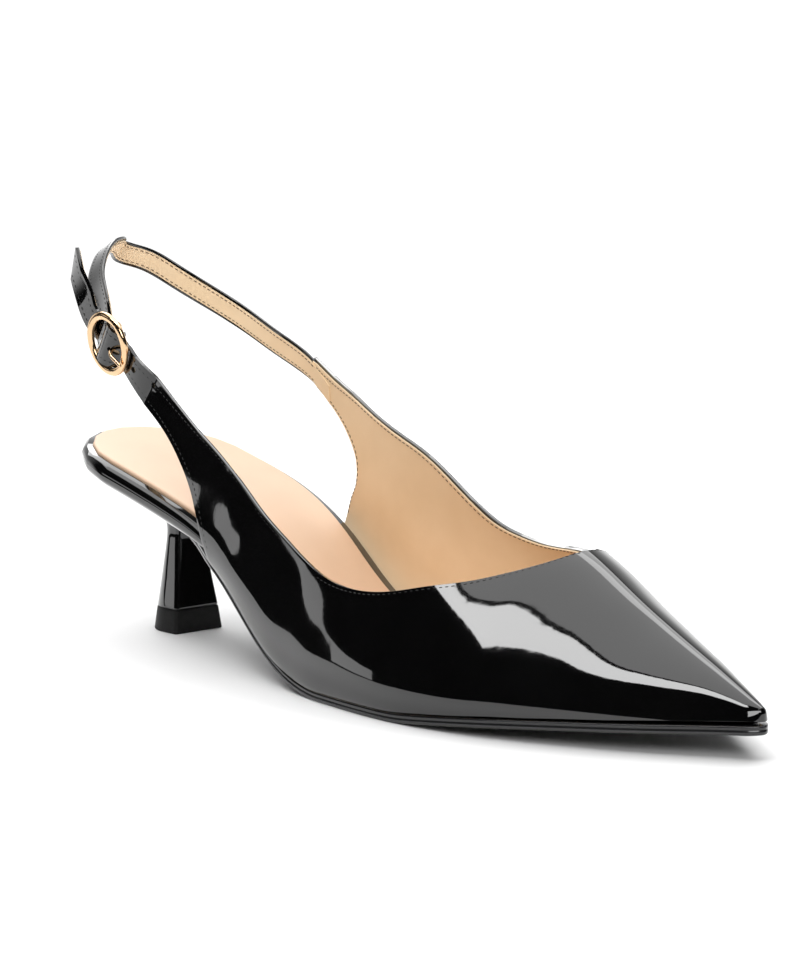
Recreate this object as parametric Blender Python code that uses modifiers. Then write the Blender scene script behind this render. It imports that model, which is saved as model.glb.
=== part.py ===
"""Slingback pump, right shoe, on a flared kitten heel. Metres, +Z up, toe at +X.

The shoe is worked out over its last. Along the last, x runs from the back of the
seat to the toe; y is medial (+) or lateral (-); z is height above the floor. At the
end every piece is moved so that the origin is the middle of the footprint.
"""
import math

import bmesh
import bpy
import numpy as np
from mathutils import Matrix, Vector

# Driving sizes of the last
LAST_LENGTH = 0.262
SEAT_WIDTH = 0.0548
SEAT_SHIFT = 0.0026
BALL_WIDTH = 0.073
SEAT_RISE = 0.0486
TOE_SPRING = 0.0065
INSTEP_HEIGHT = 0.0443
NOSE_LENGTH = 0.003
SIDE_SWELL = 0.0013
SWELL_HEIGHT = 0.030

# Bottom of the shoe
SOLE_THICKNESS = 0.0024
SOLE_BACK = 0.0447
SOLE_BACK_ROUND = 0.006
SOLE_EDGE_ROUND = 0.0006
BOARD_EDGE = 0.0062
BOARD_ROUND = 0.0022
SOCK_THICKNESS = 0.0010
SOCK_INSET = 0.0036
SOCK_END = 0.244

# Upper and straps
UPPER_WALL = 0.0016
STRAP_WALL = 0.0014
STRAP_WIDTH = 0.0072
TAB_WIDTH = 0.0088
STRAP_HEIGHT = 0.1113
FEATHER_LIFT = 0.0010
SEAM_LAP = 0.009
TAIL_CUT = 0.0068
HOLE_DIAMETER = 0.0018
HOLE_PITCH = 0.0075

# Heel
HEEL_CENTRE = 0.0336
HEEL_BASE_DEPTH = 0.0167
HEEL_BASE_WIDTH = 0.0182
HEEL_CORNER = 0.0007
TIP_THICKNESS = 0.0070

# Buckle
BUCKLE_LENGTH = 0.0190
BUCKLE_HEIGHT = 0.0190
BUCKLE_BAND = 0.0024
BUCKLE_THICKNESS = 0.0017
BUCKLE_PITCH = math.radians(38)
BUCKLE_LEAN = math.radians(14)
BUCKLE_YAW = math.radians(6.6)
BAR_DIAMETER = 0.0013
BAR_DROP = 0.0028
PRONG_DIAMETER = 0.0011
PRONG_BEND = 0.0026
SLOT_AHEAD = 0.0022
SLOT_STRETCH = 0.0008
FOLD_SLOT = 0.0012

# Clearance between pieces that meet
GAP = 0.0003

# Shares of LAST_LENGTH along, and of BALL_WIDTH to each side
OUTLINE = (
    # along, lateral, medial
    (0.210, 0.345, 0.402),
    (0.325, 0.366, 0.333),
    (0.400, 0.404, 0.329),
    (0.477, 0.456, 0.373),
    (0.553, 0.493, 0.432),
    (0.630, 0.511, 0.479),
    (0.695, 0.495, 0.494),
    (0.763, 0.438, 0.452),
    (0.840, 0.329, 0.350),
    (0.916, 0.188, 0.199),
    (0.954, 0.101, 0.106),
    (1.000, 0.006, 0.006),
)

# Feather line behind the ball: shares of LAST_LENGTH, of SEAT_RISE and of BOARD_EDGE
SEAT_LINE = (
    # along, rise, board
    (0.000, 1.000, 1.00),
    (0.115, 0.848, 1.00),
    (0.218, 0.708, 0.97),
    (0.290, 0.597, 0.81),
    (0.328, 0.518, 0.54),
    (0.362, 0.394, 0.41),
    (0.400, 0.243, 0.35),
    (0.440, 0.119, 0.33),
    (0.485, 0.033, 0.32),
    (0.534, 0.000, 0.32),
)

# Feather line before the ball: shares of LAST_LENGTH and of TOE_SPRING
TOE_LINE = (
    # along, spring
    (0.634, 0.00),
    (0.698, 0.18),
    (0.798, 0.53),
    (0.900, 0.79),
    (1.000, 1.00),
)

# Ridge of the last: height as a share of INSTEP_HEIGHT, and the roundness of the
# section under it, where 2 is an ellipse and less is more like a roof
CREST = (
    # along, height, roundness
    (0.000, 4.300, 2.40),
    (0.100, 4.100, 2.40),
    (0.230, 3.450, 2.30),
    (0.344, 2.750, 2.20),
    (0.458, 2.100, 2.05),
    (0.573, 1.600, 1.85),
    (0.687, 1.210, 1.68),
    (0.7695, 1.000, 1.58),
    (0.848, 0.738, 1.52),
    (0.932, 0.490, 1.56),
    (1.000, 0.280, 1.80),
)

# Topline and back edge of each quarter. Girth is 0 at the feather and 1 on the ridge
LATERAL_TOPLINE = (
    # along, girth
    (0.7695, 1.000),
    (0.766, 0.880),
    (0.755, 0.744),
    (0.730, 0.613),
    (0.698, 0.517),
    (0.660, 0.437),
    (0.626, 0.369),
    (0.588, 0.315),
    (0.550, 0.284),
    (0.506, 0.269),
    (0.4625, 0.259),
    (0.4165, 0.236),
    (0.370, 0.213),
    (0.332, 0.194),
    (0.296, 0.186),
    (0.255, 0.188),
    (0.213, 0.193),
)
LATERAL_BACK = (
    # along, girth
    (0.322, 0.000),
    (0.313, 0.018),
    (0.300, 0.047),
    (0.286, 0.076),
    (0.269, 0.098),
    (0.250, 0.115),
    (0.224, 0.129),
    (0.194, 0.137),
)
MEDIAL_TOPLINE = (
    # along, girth
    (0.7695, 1.000),
    (0.766, 0.885),
    (0.755, 0.750),
    (0.732, 0.640),
    (0.697, 0.560),
    (0.656, 0.490),
    (0.612, 0.420),
    (0.575, 0.386),
    (0.545, 0.374),
    (0.518, 0.384),
    (0.4625, 0.404),
    (0.415, 0.368),
    (0.366, 0.313),
    (0.303, 0.261),
    (0.239, 0.232),
)
MEDIAL_BACK = (
    # along, girth
    (0.291, 0.000),
    (0.305, 0.052),
    (0.320, 0.096),
    (0.323, 0.135),
    (0.309, 0.167),
    (0.282, 0.181),
    (0.241, 0.182),
)

# Share of each quarter's topline that is reached where its back edge begins
LATERAL_SPLIT = 0.62
MEDIAL_SPLIT = 0.56

# Width of the sole's waist as a share of the last's own
WAIST = (
    # along, share
    (0.165, 0.600),
    (0.215, 0.680),
    (0.265, 0.810),
    (0.310, 0.960),
    (0.350, 1.000),
)

# Heel: shares of its height, of HEEL_BASE_DEPTH from its centre, and of half its width
HEEL = (
    # height, back, front, half
    (0.000, -0.500, 0.500, 1.00),
    (0.170, -0.430, 0.455, 0.90),
    (0.317, -0.365, 0.405, 0.80),
    (0.488, -0.290, 0.345, 0.69),
    (0.640, -0.235, 0.290, 0.59),
    (0.730, -0.245, 0.285, 0.57),
    (0.810, -0.330, 0.330, 0.68),
    (0.880, -0.455, 0.405, 0.88),
    (0.940, -0.590, 0.500, 1.14),
    (1.000, -0.730, 0.620, 1.43),
)

# Sling strap: its inner face, as shares of LAST_LENGTH, SEAT_WIDTH and STRAP_HEIGHT,
# with the lean of its upper edge in degrees, outward above 0
SLING = (
    # along, across, up, lean
    (0.177, 0.482, 0.759, 0),
    (0.111, 0.486, 0.820, 2),
    (0.064, 0.425, 0.875, 2),
    (0.030, 0.312, 0.932, -2),
    (0.011, 0.175, 0.977, -8),
    (0.0065, 0.062, 0.994, -20),
    (0.0215, -0.010, 1.009, -48),
    (0.042, -0.142, 1.014, -56),
    (0.066, -0.288, 0.985, -48),
    (0.0937, -0.405, 0.933, -41),
)

# Free tail of the buckle strap: inner face, same shares
TAIL = (
    # along, across, up, lean
    (0.1165, -0.560, 0.905, 14),
    (0.1057, -0.568, 0.961, 22),
)

# Centre of the buckle, same shares
BUCKLE_PLACE = (0.1538, -0.566, 0.787)

# Mesh density
NOSE_STEPS = 4
VAMP_STEPS = 11
QUARTER_STEPS = 15
BACK_STEPS = 9
GIRTH_STEPS = 9
TAB_PITCH = 0.0025
SLING_PITCH = 0.004
SLAB_STEPS = 26
RING_STEPS = 40
BAND_STEPS = 10
PRONG_STEPS = 14
HEEL_LEVELS = 14


def spline(rows, flat_start=False, flat_end=False):
    """A smooth curve through rows whose first number is the parameter."""
    data = np.array(rows, dtype=float)
    knots = data[:, 0]
    values = data[:, 1:]
    count = len(knots)
    steps = np.diff(knots)
    chords = np.diff(values, axis=0) / steps[:, None]
    matrix = np.zeros((count, count))
    right = np.zeros_like(values)
    for k in range(1, count - 1):
        matrix[k, k - 1] = 1 / steps[k - 1]
        matrix[k, k] = 2 / steps[k - 1] + 2 / steps[k]
        matrix[k, k + 1] = 1 / steps[k]
        right[k] = 3 * (chords[k - 1] / steps[k - 1] + chords[k] / steps[k])
    matrix[0, 0] = 1
    matrix[-1, -1] = 1
    if not flat_start:
        matrix[0, :2] = (2, 1)
        right[0] = 3 * chords[0]
    if not flat_end:
        matrix[-1, -2:] = (1, 2)
        right[-1] = 3 * chords[-1]
    slopes = np.linalg.solve(matrix, right)

    def read(at):
        at = min(max(at, knots[0]), knots[-1])
        k = min(int(np.searchsorted(knots, at, side="right")) - 1, count - 2)
        h = steps[k]
        t = (at - knots[k]) / h
        start = (1 + 2 * t) * (1 - t) ** 2
        end = t * t * (3 - 2 * t)
        out = t * (1 - t) ** 2 * h
        into = t * t * (t - 1) * h
        return start * values[k] + end * values[k + 1] + out * slopes[k] + into * slopes[k + 1]

    return read


def length_knots(points):
    """The length along a run of points at each of them."""
    points = np.array(points, dtype=float)
    spans = np.linalg.norm(np.diff(points[:, :3], axis=0), axis=1)
    return np.concatenate(([0.0], np.cumsum(spans)))


def path(points):
    """A smooth curve through points, read by the share of its length."""
    knots = length_knots(points)
    return spline(np.column_stack((knots / knots[-1], np.array(points, dtype=float))))


def sample(points, pitch):
    """Readings along a path, at least two to each span and none further apart than pitch."""
    read = path(points)
    knots = length_knots(points)
    places = []
    for start, end in zip(knots, knots[1:]):
        count = max(math.ceil((end - start) / pitch), 2)
        places += [start + (end - start) * k / count for k in range(count)]
    return [read(place / knots[-1]) for place in places + [knots[-1]]]


SEAT_RADIUS = SEAT_WIDTH / 2
BOARD_TIP = LAST_LENGTH - UPPER_WALL - 2 * GAP
SEAT_ROW = (
    SEAT_RADIUS / LAST_LENGTH,
    (SEAT_RADIUS - SEAT_SHIFT) / BALL_WIDTH,
    (SEAT_RADIUS + SEAT_SHIFT) / BALL_WIDTH,
)
read_outline = spline((SEAT_ROW,) + OUTLINE, flat_start=True)
read_seat = spline(SEAT_LINE, flat_end=True)
read_toe = spline(TOE_LINE, flat_start=True)
read_crest = spline(CREST)
read_waist = spline(WAIST)
read_heel = spline(HEEL)
LATERAL = -1
MEDIAL = 1


def half_width(x, side, grow, tip):
    """Half width of the last's plan, grown outward, with its round seat and nose."""
    if x < SEAT_RADIUS:
        radius = SEAT_RADIUS + grow
        half = math.sqrt(max(radius ** 2 - (SEAT_RADIUS - x) ** 2, 0))
        half *= 1 + side * SEAT_SHIFT / SEAT_RADIUS
    else:
        lateral, medial = read_outline(x / LAST_LENGTH) * BALL_WIDTH
        half = (lateral if side == LATERAL else medial) + grow
    nose = tip - NOSE_LENGTH
    if x > nose:
        half *= math.sqrt(max(1 - ((x - nose) / NOSE_LENGTH) ** 2, 0))
    return half


def feather(x):
    """Height of the outsole's upper edge."""
    at = x / LAST_LENGTH
    height = SOLE_THICKNESS
    if at < SEAT_LINE[-1][0]:
        height += read_seat(at)[0] * SEAT_RISE
    if at > TOE_LINE[0][0]:
        height += read_toe(at)[0] * TOE_SPRING
    return height


def board_bottom(x):
    return feather(x) + GAP


def board_top(x):
    return board_bottom(x) + read_seat(x / LAST_LENGTH)[1] * BOARD_EDGE


def last_point(x, girth, side):
    """A point on the last, which is the inner face of the upper."""
    height, roundness = read_crest(x / LAST_LENGTH)
    low = feather(x)
    top = max(height * INSTEP_HEIGHT - UPPER_WALL, low)
    half = half_width(x, side, GAP, BOARD_TIP + GAP)
    angle = girth * math.pi / 2
    y = half * max(math.cos(angle), 0) ** (2 / roundness)
    z = low + (top - low) * math.sin(angle) ** (2 / roundness)
    t = min((z - low) / SWELL_HEIGHT, 1)
    fade = min(half / SEAT_RADIUS, 1)
    y += SIDE_SWELL * 9.48 * t * (1 - t) ** 3 * fade * math.cos(angle)
    return Vector((x, side * y, z))


def lowest_girth(x):
    """The girth at which the upper's wall starts, just above the outsole."""
    height, roundness = read_crest(x / LAST_LENGTH)
    depth = max(height * INSTEP_HEIGHT - UPPER_WALL - feather(x), FEATHER_LIFT)
    share = min(FEATHER_LIFT / depth, 0.5)
    return math.asin(share ** (roundness / 2)) * 2 / math.pi


def make_material(name, colour, roughness, metallic=0.0, coat=0.0):
    material = bpy.data.materials.new(name)
    material.use_nodes = True
    shader = material.node_tree.nodes["Principled BSDF"]
    shader.inputs["Base Color"].default_value = (*colour, 1)
    shader.inputs["Roughness"].default_value = roughness
    shader.inputs["Metallic"].default_value = metallic
    shader.inputs["Coat Weight"].default_value = coat
    material.diffuse_color = (*colour, 1)
    return material


def make_object(name, bm, material, collection):
    """Turn a bmesh into a smooth shaded object."""
    mesh = bpy.data.meshes.new(name)
    bm.to_mesh(mesh)
    bm.free()
    mesh.shade_smooth()
    mesh.set_sharp_from_angle(angle=math.radians(40))
    if material:
        mesh.materials.append(material)
    obj = bpy.data.objects.new(name, mesh)
    collection.objects.link(obj)
    return obj


def add_sheet(bm, rows, flip):
    """Quads between rows of points that all have the same count."""
    grid = [[bm.verts.new(point) for point in row] for row in rows]
    for lower, upper in zip(grid, grid[1:]):
        for k in range(len(lower) - 1):
            corners = [lower[k], lower[k + 1], upper[k + 1], upper[k]]
            if flip:
                corners.reverse()
            bm.faces.new(corners)


def weld(bm):
    bmesh.ops.remove_doubles(bm, verts=bm.verts, dist=0.00001)
    bmesh.ops.dissolve_degenerate(bm, edges=bm.edges, dist=0.00001)


def thicken(obj, wall):
    """Give an open sheet its wall, outward of the face that was modelled."""
    modifier = obj.modifiers.new("wall", "SOLIDIFY")
    modifier.thickness = wall
    modifier.offset = 1
    modifier.use_rim = True
    modifier.use_quality_normals = True


def cut(obj, cutter):
    modifier = obj.modifiers.new("cut_" + cutter.name, "BOOLEAN")
    modifier.operation = "DIFFERENCE"
    modifier.solver = "EXACT"
    modifier.object = cutter


def strap_frames(rows):
    """Points of a strap's middle line with the direction across it at each one."""
    scale = np.array((LAST_LENGTH, SEAT_WIDTH, STRAP_HEIGHT))
    centres = [Vector(np.array(row[:3]) * scale) for row in rows]
    frames = []
    for k, row in enumerate(rows):
        before = centres[max(k - 1, 0)]
        after = centres[min(k + 1, len(centres) - 1)]
        along = (after - before).normalized()
        up = Vector((0, 0, 1))
        across = (up - along * up.dot(along)).normalized()
        outward = Vector((centres[k].x - SEAT_RADIUS, centres[k].y, 0))
        outward -= across * outward.dot(across)
        outward -= along * outward.dot(along)
        outward.normalize()
        lean = math.radians(row[3])
        across = across * math.cos(lean) + outward * math.sin(lean)
        frames.append((centres[k], across))
    return frames


def buckle_axes():
    """Centre of the buckle, and its directions backward, across and outward."""
    back = Vector((-math.cos(BUCKLE_PITCH), 0, math.sin(BUCKLE_PITCH)))
    out = Vector((0, -1, 0))
    across = back.cross(out)
    if across.z < 0:
        across = -across
    lean = Matrix.Rotation(BUCKLE_LEAN, 3, -back)
    yaw = Matrix.Rotation(BUCKLE_YAW, 3, "Z")
    turn = yaw @ lean
    centre = Vector((
        BUCKLE_PLACE[0] * LAST_LENGTH,
        BUCKLE_PLACE[1] * SEAT_WIDTH,
        BUCKLE_PLACE[2] * STRAP_HEIGHT,
    ))
    return centre, turn @ back, turn @ across, turn @ out


def in_buckle(back, across, out):
    """A place in the buckle's own directions."""
    centre, s_axis, w_axis, n_axis = buckle_axes()
    return centre + s_axis * back + w_axis * across + n_axis * out


# Depths of the layers in the buckle, from its middle plane, outward above 0
TAB_UNDER = -(BUCKLE_THICKNESS / 2 + GAP + UPPER_WALL)
SLING_UNDER = TAB_UNDER - GAP - STRAP_WALL
FOLD_RADIUS = BAR_DIAMETER / 2 + GAP
SLING_OVER = -BAR_DROP + FOLD_RADIUS
TAB_OVER = SLING_OVER + STRAP_WALL + GAP
TAB_SLOPE = (TAB_OVER + TAB_UNDER) / 2
SLING_SLOPE = TAB_SLOPE - (STRAP_WALL + 2 * GAP) * 1.1
SLING_RISE = 0.0020
RIM_INNER = 0.50
RIM_OUTER = 1.04
FREE_OUTER = 0.94


def side_rows(side, topline, back_edge, split):
    """Rows of (x, girth) pairs from the toe back to the end of a quarter."""
    rows = []
    throat = topline[0][0] * LAST_LENGTH
    corner = back_edge[0][0] * LAST_LENGTH
    nose = BOARD_TIP + GAP - NOSE_LENGTH
    xs = [nose + NOSE_LENGTH * math.cos(math.pi / 2 * k / NOSE_STEPS) for k in range(NOSE_STEPS)]
    xs += [nose + (throat - nose) * k / VAMP_STEPS for k in range(VAMP_STEPS)]
    for x in xs:
        rows.append(((x, lowest_girth(x)), (x, 1.0)))
    read_top = path([(a * LAST_LENGTH, g * BALL_WIDTH, 0) for a, g in topline])
    read_back = path([(a * LAST_LENGTH, g * BALL_WIDTH, 0) for a, g in back_edge])

    def top_at(share):
        x, girth, _ = read_top(share)
        return x, min(girth / BALL_WIDTH, 1.0)

    def back_at(share):
        x, girth, _ = read_back(share)
        return x, max(girth / BALL_WIDTH, lowest_girth(x))

    for k in range(QUARTER_STEPS):
        share = k / QUARTER_STEPS
        x = throat + (corner - throat) * share
        rows.append(((x, lowest_girth(x)), top_at(split * share)))
    for k in range(BACK_STEPS + 1):
        share = k / BACK_STEPS
        rows.append((back_at(share), top_at(split + (1 - split) * share)))
    return rows


def skin_rows(side, topline, back_edge, split):
    """The same rows as points on the last."""
    skin = []
    for (low_x, low_girth), (top_x, top_girth) in side_rows(side, topline, back_edge, split):
        row = []
        for k in range(GIRTH_STEPS + 1):
            t = k / GIRTH_STEPS
            x = low_x + (top_x - low_x) * t
            girth = low_girth + (top_girth - low_girth) * t
            row.append(last_point(x, girth, side))
        skin.append(row)
    return skin


def tab_path():
    """Middle line of the buckle strap's inner face, through the buckle to its tail."""
    reach = BUCKLE_LENGTH / 2
    across = buckle_axes()[2]
    frames = []
    layers = (
        (-RIM_OUTER, TAB_UNDER), (-RIM_INNER, TAB_UNDER), (0, TAB_OVER),
        (RIM_INNER / 2, TAB_SLOPE), (RIM_INNER, TAB_UNDER), (RIM_OUTER, TAB_UNDER),
    )
    for share, depth in layers:
        frames.append((in_buckle(share * reach, 0, depth), across))
    frames += strap_frames(TAIL)
    return frames


def tab_rows(last_row):
    """The buckle strap's rows, which go on from the quarter's last row."""
    start = (last_row[0] + last_row[-1]) / 2
    first = (start, last_row[-1] - last_row[0])
    frames = [first] + tab_path()
    widths = [first[1].length] + [TAB_WIDTH] * (len(frames) - 1)
    data = [(*c, *a.normalized(), w) for (c, a), w in zip(frames, widths)]
    rows = []
    for values in sample(data, TAB_PITCH)[1:]:
        centre = Vector(values[:3])
        across = Vector(values[3:6]).normalized() * values[6] / 2
        row = [centre + across * (2 * j / GIRTH_STEPS - 1) for j in range(GIRTH_STEPS + 1)]
        rows.append(row)
    along = (rows[-1][0] - rows[-2][0]).normalized()
    rows.append([p + along * TAIL_CUT * j / GIRTH_STEPS for j, p in enumerate(rows[-1])])
    return rows


def build_upper(collection, material):
    bm = bmesh.new()
    lateral = skin_rows(LATERAL, LATERAL_TOPLINE, LATERAL_BACK, LATERAL_SPLIT)
    lateral += tab_rows(lateral[-1])
    medial = skin_rows(MEDIAL, MEDIAL_TOPLINE, MEDIAL_BACK, MEDIAL_SPLIT)
    add_sheet(bm, lateral, False)
    add_sheet(bm, medial, True)
    weld(bm)
    upper = make_object("upper", bm, material, collection)
    thicken(upper, UPPER_WALL)
    return upper


def sling_path():
    """Middle line of the sling strap's inner face, from its seam to its folded end."""
    reach = BUCKLE_LENGTH / 2
    across = buckle_axes()[2]
    seam_x = MEDIAL_BACK[-1][0] * LAST_LENGTH
    low, high = MEDIAL_BACK[-1][1], MEDIAL_TOPLINE[-1][1]
    frames = []
    for x in (seam_x + SEAM_LAP, seam_x + SEAM_LAP / 2, seam_x + GAP):
        lower = last_point(x, low, MEDIAL)
        upper = last_point(x, high, MEDIAL)
        inward = Vector((0, -1, 0)) * (STRAP_WALL + 2 * GAP)
        frames.append(((lower + upper) / 2 + inward, (upper - lower).normalized()))
    frames += strap_frames(SLING)
    frames.append((in_buckle(RIM_OUTER * reach, SLING_RISE, SLING_UNDER - SLING_RISE), across))
    frames.append((in_buckle(RIM_INNER * reach, 0, SLING_UNDER - GAP), across))
    frames.append((in_buckle(RIM_INNER / 2 * reach, 0, SLING_SLOPE), across))
    for turn in (90, 45, 0, -45, -90):
        angle = math.radians(turn)
        back = -FOLD_RADIUS * math.cos(angle)
        out = -BAR_DROP + FOLD_RADIUS * math.sin(angle)
        frames.append((in_buckle(back, 0, out), across))
    tab_depth = SLING_UNDER - 3 * GAP
    frames.append((in_buckle(RIM_INNER * reach, 0, tab_depth), across))
    frames.append((in_buckle(FREE_OUTER * reach, SLING_RISE, tab_depth - SLING_RISE), across))
    return frames


def build_sling(collection, material):
    data = [(*centre, *across) for centre, across in sling_path()]
    bm = bmesh.new()
    rows = []
    for values in sample(data, SLING_PITCH):
        centre = Vector(values[:3])
        across = Vector(values[3:6]).normalized() * STRAP_WIDTH / 2
        rows.append([centre - across, centre, centre + across])
    add_sheet(bm, rows, True)
    weld(bm)
    sling = make_object("sling_strap", bm, material, collection)
    thicken(sling, STRAP_WALL)
    return sling


def outline_loop(xs, grow, tip, shrink=None):
    """A closed plan outline, lateral side forward and medial side back."""
    def y_at(x, side):
        half = half_width(x, side, grow, tip)
        if shrink:
            half *= shrink(x)
        return side * half

    lateral = [Vector((x, y_at(x, LATERAL), 0)) for x in xs]
    medial = [Vector((x, y_at(x, MEDIAL), 0)) for x in xs[1:-1]]
    return lateral + medial[::-1]


def inset_loop(loop, inset):
    """The outline moved inward by an amount that may change along the shoe."""
    count = len(loop)
    moved = []
    for k, point in enumerate(loop):
        along = (loop[(k + 1) % count] - loop[k - 1]).normalized()
        moved.append(point + Vector((-along.y, along.x, 0)) * inset(point.x))
    return moved


def even(inset):
    return lambda x: inset


def build_slab(name, loop, levels, collection, material):
    """A plate with the given plan: each level is an inset and a height over x."""
    bm = bmesh.new()
    rings = []
    for inset, height in levels:
        ring = []
        for point in inset_loop(loop, inset):
            ring.append(bm.verts.new((point.x, point.y, height(point.x))))
        rings.append(ring)
    count = len(loop)
    for lower, upper in zip(rings, rings[1:]):
        for k in range(count):
            n = (k + 1) % count
            bm.faces.new((lower[k], lower[n], upper[n], upper[k]))
    last = count // 2
    for ring, down in ((rings[0], True), (rings[-1], False)):
        for k in range(last):
            left = ring[-k] if k else ring[0]
            corners = [ring[k], ring[k + 1], ring[-k - 1], left]
            if corners[1] is corners[2]:
                corners.pop(2)
            if corners[0] is corners[-1]:
                corners.pop()
            if down:
                corners.reverse()
            bm.faces.new(corners)
    return make_object(name, bm, material, collection)


def stations(start, end, round_start, round_end):
    """Places along x, closer together where the plan is round at its two ends."""
    xs = []
    for k in range(5):
        xs.append(start + round_start * (1 - math.cos(math.pi / 2 * k / 5)))
    middle_start = start + round_start
    middle_end = end - round_end
    for k in range(SLAB_STEPS):
        xs.append(middle_start + (middle_end - middle_start) * k / SLAB_STEPS)
    for k in range(5):
        xs.append(middle_end + round_end * math.sin(math.pi / 2 * k / 5))
    xs.append(end)
    return xs


def build_board(collection, material):
    xs = stations(0, BOARD_TIP, SEAT_RADIUS, NOSE_LENGTH)
    loop = outline_loop(xs, 0, BOARD_TIP)

    def level(share):
        return lambda x: board_bottom(x) + share * (board_top(x) - board_bottom(x))

    def edge(share):
        return lambda x: share * BOARD_ROUND * read_seat(x / LAST_LENGTH)[1]

    levels = [(edge(0.8), level(0)), (edge(0.2), level(0.2)), (edge(0), level(0.5)),
              (edge(0.2), level(0.8)), (edge(0.8), level(1))]
    return build_slab("insole_board", loop, levels, collection, material)


def build_sock(collection, material):
    end = SOCK_END
    xs = stations(SOCK_INSET, end, SEAT_RADIUS - SOCK_INSET, NOSE_LENGTH)
    loop = outline_loop(xs, -SOCK_INSET, end)

    def level(height):
        return lambda x: board_top(x) + GAP + height

    levels = [(even(0), level(0)), (even(0), level(SOCK_THICKNESS / 2)),
              (even(SOCK_THICKNESS / 2), level(SOCK_THICKNESS))]
    return build_slab("insole_sock", loop, levels, collection, material)


def build_outsole(collection, material):
    xs = stations(SOLE_BACK, LAST_LENGTH, SOLE_BACK_ROUND, NOSE_LENGTH)

    def shrink(x):
        share = read_waist(x / LAST_LENGTH)[0]
        if x < SOLE_BACK + SOLE_BACK_ROUND:
            ahead = (SOLE_BACK + SOLE_BACK_ROUND - x) / SOLE_BACK_ROUND
            share *= math.sqrt(max(1 - ahead ** 2, 0))
        return share

    loop = outline_loop(xs, UPPER_WALL + GAP, LAST_LENGTH, shrink)

    def level(drop):
        return lambda x: feather(x) - drop

    levels = [(even(SOLE_EDGE_ROUND), level(SOLE_THICKNESS)),
              (even(0), level(SOLE_THICKNESS - SOLE_EDGE_ROUND)), (even(0), level(0))]
    return build_slab("outsole", loop, levels, collection, material)


def heel_section(share):
    """The heel's plan at a share of its height: a straight breast and a round back."""
    back, front, half = read_heel(share)
    x_back = HEEL_CENTRE + back * HEEL_BASE_DEPTH
    x_front = HEEL_CENTRE + front * HEEL_BASE_DEPTH
    y_half = half * HEEL_BASE_WIDTH / 2
    x_round = x_back + 0.62 * (x_front - x_back)
    points = []
    for k in range(13):
        angle = math.pi / 2 * (1 - 2 * k / 12)
        x = x_round - (x_round - x_back) * math.cos(angle)
        points.append((x, y_half * math.sin(angle)))
    points.append((x_front - HEEL_CORNER, -y_half * 0.985))
    points.append((x_front, -y_half * 0.985 + HEEL_CORNER))
    points.append((x_front, 0))
    points.append((x_front, y_half * 0.985 - HEEL_CORNER))
    points.append((x_front - HEEL_CORNER, y_half * 0.985))
    return points


def heel_ring(bm, share):
    """Vertices of one section, level at the floor and along the board at the top."""
    middle = feather(HEEL_CENTRE)
    ring = []
    for x, y in heel_section(share):
        z = middle * share + (feather(x) - middle) * share ** 4
        ring.append(bm.verts.new((x, y, z)))
    return ring


def build_heel_piece(name, shares, collection, material):
    bm = bmesh.new()
    rings = [heel_ring(bm, share) for share in shares]
    for lower, upper in zip(rings, rings[1:]):
        for k in range(len(lower)):
            n = (k + 1) % len(lower)
            bm.faces.new((lower[k], lower[n], upper[n], upper[k]))
    bm.faces.new(rings[0][::-1])
    bm.faces.new(rings[-1])
    bmesh.ops.recalc_face_normals(bm, faces=bm.faces)
    return make_object(name, bm, material, collection)


def build_heel(collection, material):
    start = (TIP_THICKNESS + GAP) / feather(HEEL_CENTRE)
    shares = [start + (1 - start) * k / HEEL_LEVELS for k in range(HEEL_LEVELS + 1)]
    return build_heel_piece("heel", shares, collection, material)


def build_heel_tip(collection, material):
    end = TIP_THICKNESS / feather(HEEL_CENTRE)
    return build_heel_piece("heel_tip", [0, end / 2, end], collection, material)


def tube(name, points, diameter, material, collection, sides=2):
    """A closed round rod through points, as a mesh object."""
    curve = bpy.data.curves.new(name + "_line", "CURVE")
    curve.dimensions = "3D"
    curve.bevel_depth = diameter / 2
    curve.bevel_resolution = sides
    curve.use_fill_caps = True
    line = curve.splines.new("POLY")
    line.points.add(len(points) - 1)
    for place, point in zip(line.points, points):
        place.co = (*point, 1)
    guide = bpy.data.objects.new(name + "_line", curve)
    collection.objects.link(guide)
    bpy.context.view_layer.update()
    graph = bpy.context.evaluated_depsgraph_get()
    mesh = bpy.data.meshes.new_from_object(guide.evaluated_get(graph))
    bpy.data.objects.remove(guide)
    bm = bmesh.new()
    bm.from_mesh(mesh)
    bpy.data.meshes.remove(mesh)
    bmesh.ops.remove_doubles(bm, verts=bm.verts, dist=0.00001)
    bmesh.ops.recalc_face_normals(bm, faces=bm.faces)
    return make_object(name, bm, material, collection)


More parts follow.
